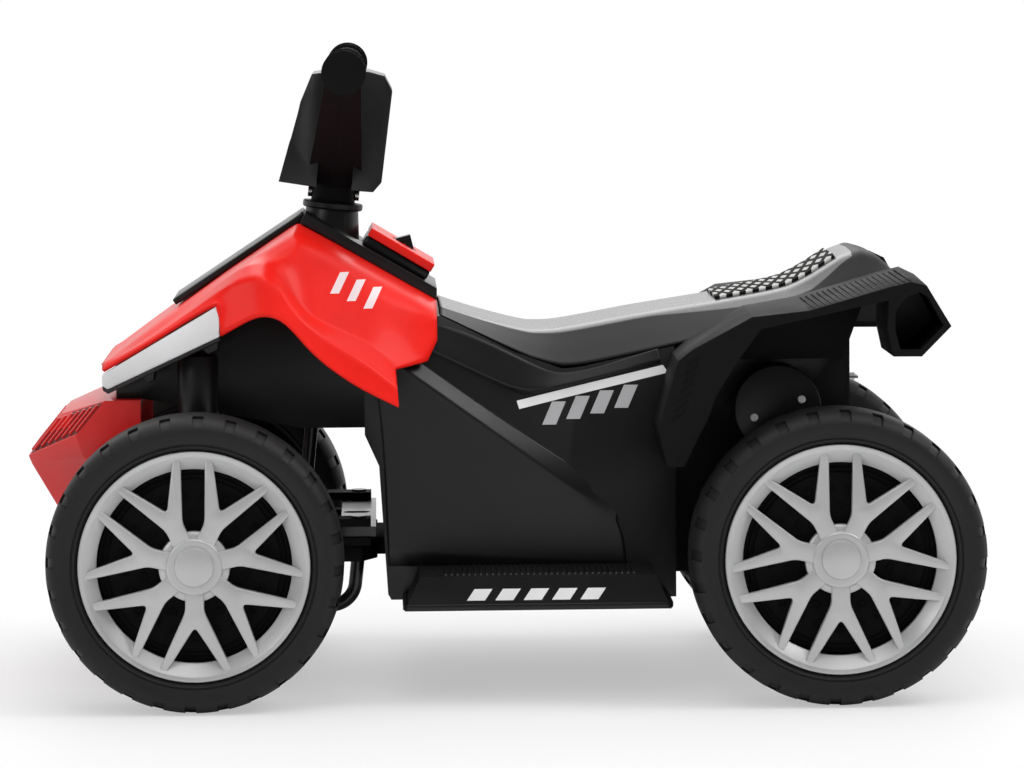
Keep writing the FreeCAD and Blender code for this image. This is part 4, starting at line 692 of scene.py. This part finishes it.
def slope_top(bm):
    """Lowers the corners of a fender's top, so that it slopes down outwards."""
    for vert in bm.verts:
        for (x, z), inner_height, outer_height in top_slope:
            if abs(vert.co.x / MM - x) < 0.4 and abs(vert.co.z / MM - z) < 0.4:
                vert.co.z = (inner_height if abs(vert.co.y) < 0.15 else outer_height) * MM
                break


def open_tail(bm):
    """Cuts a tail's outer wall away inside a narrow rim, so that the hollow shows."""
    ends = [Vector((x, 0, z)) * MM for x, z in tail_mouth]
    sides = zip(ends, ends[1:] + ends[:1])
    planes = [(start, (end - start).cross(Vector((0, 1, 0)))) for start, end in sides]
    inward = math.copysign(1.0, planes[0][1].dot(ends[4] - ends[0]))

    def outer_walls():
        """Upright faces on the fender's outer side."""
        upright = [face for face in bm.faces if abs(face.normal.y) > 0.99]
        return [face for face in upright if abs(face.calc_center_median().y) > 0.184]

    def in_mouth(face):
        """True for a face within all sides of the tail's mouth."""
        middle = face.calc_center_median()
        return all((middle - place).dot(across_wall) * inward > 0 for place, across_wall in planes)

    for place, across_wall in planes:
        walls = outer_walls()
        wall_edges = list({edge for face in walls for edge in face.edges})
        wall_verts = list({vert for face in walls for vert in face.verts})
        bmesh.ops.bisect_plane(bm, geom=walls + wall_edges + wall_verts, dist=1e-7,
                               plane_co=place, plane_no=across_wall)
    mouth = [face for face in outer_walls() if in_mouth(face)]
    bmesh.ops.delete(bm, geom=mouth, context="FACES")
    bmesh.ops.bridge_loops(bm, edges=[edge for edge in bm.edges if edge.is_boundary])


def shape_fender(bm):
    """Carving of a whole fender."""
    slope_top(bm)
    open_tail(bm)


for node in ("rear_fender_left", "rear_fender_right"):
    softened(node, 1.5, fender_black, broad=3.0, where=on_rim, carve=shape_fender)
tail_walls = bmesh.new()
tail_wall_outline = [(-301, 327), (-316, 331.5), (-327, 325.5), (-345.5, 293), (-324.5, 272), (-304.5, 272.2),
                     (-301, 290)]
tail_wall_y, tail_wall_thickness = 0.108, 0.003
for flank_side in (1, -1):
    y = flank_side * tail_wall_y
    corners = [tail_walls.verts.new((x * MM, y, z * MM)) for x, z in tail_wall_outline]
    wall = bmesh.ops.extrude_face_region(tail_walls, geom=[tail_walls.faces.new(corners)])
    bmesh.ops.translate(tail_walls, verts=new_verts(wall),
                        vec=(0.0, flank_side * tail_wall_thickness, 0.0))
bmesh.ops.recalc_face_normals(tail_walls, faces=tail_walls.faces)
finished("tail_inner_walls", tail_walls, black, "chassis", "black_plastic")
fender_ribs = bmesh.new()
top_ribs, leg_ribs = 18, 7
for i in range(top_ribs):
    share = i / (top_ribs - 1)
    x, z = -240.0 - 74.0 * share, 312.6 + 20.8 * share
    for flank_side in (1, -1):
        rib(fender_ribs, (x + 2.5, flank_side * 120, z - 1.7), (x - 2.5, flank_side * 186, z - 5.8), 2.0, 2.4,
            (0, flank_side * 0.08, 1))
for i in range(leg_ribs):
    z = 222.0 + 7.2 * i
    x = -129.0 - 0.29 * (z - 215.0)
    for flank_side in (1, -1):
        outer = flank_side * fender_outer
        rib(fender_ribs, (x, outer, z), (x - 11.0, outer, z + 8.0), 1.6, 1.6, (0, flank_side, 0))
bmesh.ops.recalc_face_normals(fender_ribs, faces=fender_ribs.faces)
finished("fender_ribs", fender_ribs, fender_black, "chassis", "black_plastic")

# The gearbox in the left rear wheel well: a black moulded case with a round cover,
# closed by zinc-plated pan-head screws with a cross recess.
softened("gearbox_case", 1.0, black)
softened("gearbox_cover", 1.6, black)
zinc = moulded("zinc_plate", (0.62, 0.62, 0.62), 0.26, 0.05, metal=1.0)
bright_zinc = moulded("bright_zinc_plate", (0.85, 0.85, 0.85), 0.3, 0.03, metal=0.4)


def islands(bm):
    """Groups of vertices that hang together."""
    loose = set(bm.verts)
    while loose:
        group, growing = set(), [loose.pop()]
        while growing:
            vert = growing.pop()
            group.add(vert)
            others = [edge.other_vert(vert) for edge in vert.link_edges]
            growing += [other for other in others if other in loose]
            loose -= set(growing)
        yield group


def screw_head(radius):
    """Pan head with a cross recess, lying at the origin with its axis along Z."""
    head = bmesh.new()
    bmesh.ops.create_circle(head, cap_ends=True, segments=20, radius=radius * 0.74)
    arm_width, arm_length, recess_depth = 0.12, 0.42, 0.3
    for turn_axis in (Vector((1, 0, 0)), Vector((0, 1, 0))):
        for offset in (-arm_length, -arm_width, arm_width, arm_length):
            bmesh.ops.bisect_plane(head, geom=head.verts[:] + head.edges[:] + head.faces[:], dist=1e-7,
                                   plane_co=turn_axis * radius * offset, plane_no=turn_axis)
    arms = []
    for face in head.faces:
        off_axes = [abs(c) for c in face.calc_center_median().xy]
        if min(off_axes) < radius * arm_width and max(off_axes) < radius * arm_length:
            arms.append(face)
    sunk = bmesh.ops.extrude_face_region(head, geom=arms)
    bmesh.ops.delete(head, geom=arms, context="FACES_ONLY")
    bmesh.ops.translate(head, verts=new_verts(sunk), vec=(0.0, 0.0, -radius * recess_depth))
    rim_edges = [edge for edge in head.edges if edge.is_boundary]
    for spread, drop in ((1.22, -0.14), (1.11, -0.2), (1.0, -0.25), (0.55, 0.0), (1.0, -0.5)):
        skirt = bmesh.ops.extrude_edge_only(head, edges=rim_edges)
        rim_edges = [item for item in skirt["geom"] if isinstance(item, bmesh.types.BMEdge)]
        for vert in new_verts(skirt):
            vert.co = Vector((vert.co.x * spread, vert.co.y * spread, vert.co.z + radius * drop))
    return head


screw_spots = bmesh.new()
screw_spots.from_mesh(nodes["gearbox_screws"].data)
bmesh.ops.remove_doubles(screw_spots, verts=screw_spots.verts, dist=0.00001)
heads = bmesh.new()
recess_turn = 0.6
for group in islands(screw_spots):
    low = Vector([min(v.co[k] for v in group) for k in range(3)])
    high = Vector([max(v.co[k] for v in group) for k in range(3)])
    head = screw_head((high.x - low.x) / 2)
    swung(head, -math.pi / 2, "X")
    swung(head, recess_turn, "Y")
    bmesh.ops.translate(head, verts=head.verts, vec=((low.x + high.x) / 2, high.y, (low.z + high.z) / 2))
    bmesh.ops.recalc_face_normals(head, faces=head.faces)
    heads.from_mesh(stored(head, "screw_form"))
screw_spots.free()
finished("gearbox_screw_heads", heads, bright_zinc, body_of["gearbox_screws"], slot_of["gearbox_screws"],
         ("gearbox_screws",), sharp=30.0)

# The handlebar and head: two black half shells that meet in the middle plane and form arms and grips,
# a faceted mask in front and a console behind, held by one clamp bolt through the neck.
grip_black = moulded("grip_polypropylene", (0.007, 0.007, 0.0075), 0.5, 0.16, specular=0.05)
mask_growth = {(136.2, 490.5): (9.0, -1.8), (136.2, 487.4): (9.0, -1.8), (147.8, 469.5): (6.9, -3.1),
               (146.8, 467.8): (6.9, -3.1), (150.1, 460.5): (6.4, -1.5), (148.9, 459.4): (6.4, -1.5),
               (160.4, 442.1): (2.1, -4.1), (158.3, 442.2): (2.1, -4.1), (164.4, 437.9): (-0.4, -3.9),
               (161.9, 438.3): (-0.4, -3.9), (174.1, 407.5): (-1.1, -4.6), (170.8, 409.8): (-1.1, -4.6)}
console_growth = {(83.3, 466.3): (-2.0, 8.0), (86.5, 464.8): (-2.0, 8.0), (87.4, 479.7): (0.0, 6.7),
                  (90.0, 477.3): (0.0, 6.7), (98.3, 486.4): (2.0, 3.8), (99.5, 483.5): (2.0, 3.8),
                  (105.2, 487.1): (0.0, 3.0), (105.5, 484.2): (0.0, 3.0)}


def fuller(growth):
    """Carving that moves a head piece's corners, named by their X and Z, out to a fuller outline."""
    def carve(bm):
        """Moves the corners that the growth names."""
        for vert in bm.verts:
            for (x, z), (ahead_by, up_by) in growth.items():
                if abs(vert.co.x / MM - x) < 0.15 and abs(vert.co.z / MM - z) < 0.15:
                    vert.co += Vector((ahead_by, 0.0, up_by)) * MM
                    break
    return carve


head_pieces = (("handlebar_front", 2.0, grip_black, None), ("handlebar_rear", 2.0, grip_black, None),
               ("head_mask", 1.8, black, fuller(mask_growth)),
               ("head_console", 2.4, black, fuller(console_growth)))
for node, radius, finish, carve in head_pieces:
    softened(node, radius, finish, segments=3, carve=carve)

# The steering gear and front axle: black glass-filled nylon frame and knuckles.
# The rods and pins have a black coat, and the stub axles and nuts are zinc-plated steel.
axle_black = moulded("glass_filled_nylon", (0.005, 0.005, 0.005), 0.75, 0.2, specular=0.12)
for node in ("front_axle_frame", "knuckle_left", "knuckle_right"):
    softened(node, 0.8, axle_black)

# The pedal and the battery: a black treadle on its bracket, and a sealed grey-black battery,
# held down by a strap of woven webbing.
battery_case = moulded("battery_case", (0.03, 0.031, 0.034), 0.45, 0.2)
softened("accelerator_pedal", 0.9, black)
softened("battery", 1.5, battery_case)
webbing = moulded("strap_webbing", (0.02, 0.02, 0.021), 0.8, 0.2)
web_tree = webbing.node_tree
web_where = web_tree.nodes.new("ShaderNodeTexCoord")
web_wave = web_tree.nodes.new("ShaderNodeTexWave")
web_wave.bands_direction = "DIAGONAL"
web_wave.inputs["Scale"].default_value = 260.0
web_wave.inputs["Distortion"].default_value = 0.6
web_tree.links.new(web_where.outputs["Object"], web_wave.inputs["Vector"])
web_bump = web_tree.nodes.new("ShaderNodeBump")
web_bump.inputs["Strength"].default_value = 0.6
web_bump.inputs["Distance"].default_value = 0.0006
web_tree.links.new(web_wave.outputs["Fac"], web_bump.inputs["Height"])
web_tree.links.new(web_bump.outputs["Normal"], web_tree.nodes["Principled BSDF"].inputs["Normal"])

# The tyres: foamed black rubber, blown round the rims in one piece. A fine groove
# runs round each smooth sidewall, and the shoulders are notched into lugs.
rubber = moulded("foam_rubber", (0.009, 0.009, 0.009), 0.6, 0.35, specular=0.35)
tyre_half = [(89.4, 29.0), (91.5, 32.4), (93.4, 33.6), (93.9, 32.8), (94.6, 32.8), (95.1, 34.0),
             (100.0, 35.6), (105.0, 36.0), (107.5, 35.2), (110.5, 33.0), (113.0, 29.4), (114.4, 24.0),
             (115.0, 16.0), (115.0, 0.0)]
tyre_profile = tyre_half + [(r, -y) for r, y in reversed(tyre_half[:-1])]
lugs, lug_steps, notch_steps = 28, 6, 2
notch_radius, notch_out, notch_shrink = 108.0, 18.0, Vector((0.982, 0.975, 0.982))
tyre_form = turned(tyre_profile, lugs * lug_steps)
notches = []
for face in tyre_form.faces:
    middle = face.calc_center_median() / MM
    lug_turn = math.atan2(middle.z, middle.x) / (2 * math.pi) * lugs
    turn_share = (lug_turn + (0.5 if middle.y < 0 else 0.0)) % 1.0
    on_shoulder = math.hypot(middle.x, middle.z) > notch_radius and abs(middle.y) > notch_out
    if on_shoulder and turn_share < notch_steps / lug_steps:
        notches.append(face)
sunk = bmesh.ops.extrude_face_region(tyre_form, geom=notches)
bmesh.ops.delete(tyre_form, geom=notches, context="FACES_ONLY")
for vert in new_verts(sunk):
    vert.co *= notch_shrink
tyre_mesh = stored(tyre_form, "tyre_form")

# The rims: black discs moulded with their barrels, with grooves round the face
# and small round bosses between the spokes.
rim_profile = [(5.05, -36), (17, -36), (17, 10), (85.4, 10), (85.4, -30), (89.4, -30), (89.4, 28.3),
               (85.4, 28.3), (85.4, 16)]
for groove in (75.0, 71.2, 67.4):
    rim_profile += [(groove + 1.2, 16), (groove + 0.6, 14.6), (groove - 0.6, 14.6), (groove - 1.2, 16)]
rim_profile += [(26, 16), (26, 14), (5.05, 14)]
rim_form = turned(rim_profile, 96)
boss = turned([(3.6, 15.6), (3.6, 16.9), (3.1, 17.3), (2.2, 17.3), (1.7, 16.8), (1.7, 15.6)], 14)
boss_mesh = stored(boss, "boss_form")
spokes, first_spoke = 7, 90.0
boss_places = ((41.0, 0.0), (54.0, 0.14), (54.0, -0.14), (57.0, 0.5))
for i in range(spokes):
    for radius, shift in boss_places:
        angle = math.radians(first_spoke + 360.0 * (i + shift) / spokes)
        before = len(rim_form.verts)
        rim_form.from_mesh(boss_mesh)
        rim_form.verts.ensure_lookup_table()
        bmesh.ops.translate(rim_form, verts=rim_form.verts[before:],
                            vec=(radius * MM * math.cos(angle), 0.0, radius * MM * math.sin(angle)))
rim_mesh = stored(rim_form, "rim_form")

# The wheel covers: silver-lacquered mouldings with a dished ring, seven forked spokes
# whose tips rise over the ring, and a round cap, pressed into the rims.
silver = moulded("silver_lacquer", (0.50, 0.50, 0.505), 0.33, 0.03, coat=0.1, metal=0.35)
ring_profile = [(89.2, 28.3), (89.2, 32.8), (88.6, 33.4), (85.6, 33.4), (84.9, 32.9), (76.2, 26.6),
                (75.2, 25.6), (75.2, 22.5), (80.0, 22.5)]
hub_profile = [(0.0, 36.3), (13.4, 36.3), (14.6, 35.9), (15.1, 34.9), (15.5, 33.6), (16.6, 33.2),
               (19.5, 33.9), (21.0, 33.5), (22.0, 32.4), (22.5, 31.2), (26.0, 30.8), (27.2, 29.8),
               (27.6, 26.0), (0.0, 26.0)]
cover_form = turned(ring_profile, 112)
cover_form.from_mesh(stored(turned(hub_profile, 56), "hub_form"))
fork = [(14.0, -7.2), (34.5, -7.2), (79.6, -27.9), (82.2, -22.9), (46.5, 0.0), (82.2, 22.9), (79.6, 27.9),
        (34.5, 7.2), (14.0, 7.2)]
spoke_back, spoke_height, tip_drop, tip_start = 0.0262, 0.0064, 0.0008, 0.07
for i in range(spokes):
    spoke = bmesh.new()
    plate = spoke.faces.new([spoke.verts.new((u * MM, spoke_back, v * MM)) for u, v in fork])
    raised = bmesh.ops.extrude_face_region(spoke, geom=[plate])
    for vert in new_verts(raised):
        vert.co.y += spoke_height - tip_drop * (vert.co.x > tip_start)
    bmesh.ops.recalc_face_normals(spoke, faces=spoke.faces)
    uprights = [e for e in spoke.edges if abs(e.verts[0].co.y - e.verts[1].co.y) > 0.003
                and 0.030 < e.verts[0].co.x < 0.047]
    rounded(spoke, uprights, 3.5, 3)
    crown = [e for e in spoke.edges if all(v.co.y > 0.030 for v in e.verts)]
    rounded(spoke, crown, 1.2, 3)
    swung(spoke, math.radians(first_spoke + 360.0 * i / spokes), "Y")
    cover_form.from_mesh(stored(spoke, "spoke_form"))
cover_mesh = stored(cover_form, "cover_form")

# The four wheels put together: each tyre is blown on its rim, and the cover snaps into the rim's
# outer face. The right-hand wheels are the left-hand ones turned round.
wheel_parts = (("tyre", tyre_mesh, rubber), ("rim", rim_mesh, grip_black),
               ("wheel_cover", cover_mesh, silver))
for corner in ("front_left", "front_right", "rear_left", "rear_right"):
    low, high = [Vector(end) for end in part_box("tyre_" + corner)]
    hub = (low + high) / 2
    for part, form, finish in wheel_parts:
        node = part + "_" + corner
        bm = bmesh.new()
        bm.from_mesh(form)
        if hub.y < 0:
            swung(bm, math.pi, "Z")
        bmesh.ops.translate(bm, verts=bm.verts, vec=hub)
        finished(node + "_moulding", bm, finish, body_of[node], slot_of[node], (node,), sharp=38.0)

# The works inside and the bare fasteners keep the solids' shapes: nylon gears on steel pins,
# a brushed steel motor can, plated axles, nuts and screws, and black brackets.
nylon = moulded("natural_nylon", (0.75, 0.72, 0.62), 0.45, 0.05)
motor_steel = moulded("drawn_steel", (0.5, 0.5, 0.51), 0.32, 0.05, metal=1.0, streak=(1.0, 14.0, 1.0))
coated_steel = moulded("black_coated_steel", (0.012, 0.012, 0.013), 0.3, 0.05, coat=0.2)
slot_finish = {"red_plastic": red, "silver_plastic": silver, "silver_trim": trim_silver, "tyre": rubber,
               "zinc_steel": zinc, "motor_steel": motor_steel, "gear_plastic": nylon,
               "battery_case": battery_case, "strap_webbing": webbing, "pad_plastic": pad_black}
for node, slot in slot_of.items():
    nodes[node].data.materials.clear()
    nodes[node].data.materials.append(slot_finish.get(slot, black))
for node in ("steering_rod", "tie_rod", "kingpins", "tie_pin_left", "tie_pin_right"):
    nodes[node].data.materials[0] = coated_steel
nodes["rear_wing_screw"].data.materials[0] = bright_zinc

# The stickers: thin printed films of plain slanted bars, laid on the flanks, steps and fairing.
# Each is cut to shape and pressed on the surface that carries it.
film_white = moulded("white_film", (0.78, 0.78, 0.78), 0.42, 0.02)
film_grey = moulded("grey_film", (0.42, 0.42, 0.43), 0.42, 0.02)
film_pink = moulded("pale_film", (0.86, 0.70, 0.72), 0.3, 0.02)
film_start, film_gap = 0.4, 0.00018


def sticker(name, outlines, carrier, finish):
    """Film of flat outlines in X and Z, pressed sideways on the carrier's surface on both flanks."""
    skin = BVHTree.FromObject(carrier, bpy.context.evaluated_depsgraph_get())
    film = bmesh.new()
    for flank_side in (1, -1):
        for outline in outlines:
            corners = [film.verts.new((x * MM, flank_side * film_start, z * MM)) for x, z in outline]
            made = film.faces.new(corners)
            cut = bmesh.ops.triangulate(film, faces=[made])
            bmesh.ops.subdivide_edges(film, edges=list({e for f in cut["faces"] for e in f.edges}), cuts=5,
                                      use_grid_fill=True)
    for vert in film.verts:
        flank_side = math.copysign(1.0, vert.co.y)
        spot = skin.ray_cast(vert.co, Vector((0.0, -flank_side, 0.0)))[0]
        vert.co = spot + Vector((0.0, flank_side * film_gap, 0.0))
    for face in film.faces:
        if face.normal.y * face.calc_center_median().y < 0:
            face.normal_flip()
    finished(name, film, finish, "chassis", "silver_trim", sharp=60.0)


def bars(x, z, count, pitch, width, length, slant, rise=0.0):
    """Row of slanted bars from a first foot point, as outlines."""
    feet = [(x + i * pitch, z + i * rise) for i in range(count)]
    return [[(u, v), (u - width, v), (u - width - slant, v + length), (u - slant, v + length)]
            for u, v in feet]


bpy.context.view_layer.update()
sticker("flank_stripe", [[(-14, 231), (-130, 258), (-134, 252), (-16, 224.5)]], body_skin, film_white)
sticker("flank_bars", bars(-34, 212, 4, -19, 11, 18, 8, 4.2), body_skin, film_grey)
sticker("step_bars", bars(28, 83, 5, -22, 14, 9, 6), body_skin, film_white)
sticker("fairing_bars", bars(132, 318, 3, -13, 7, 16, 8, -6), fairing, film_pink)
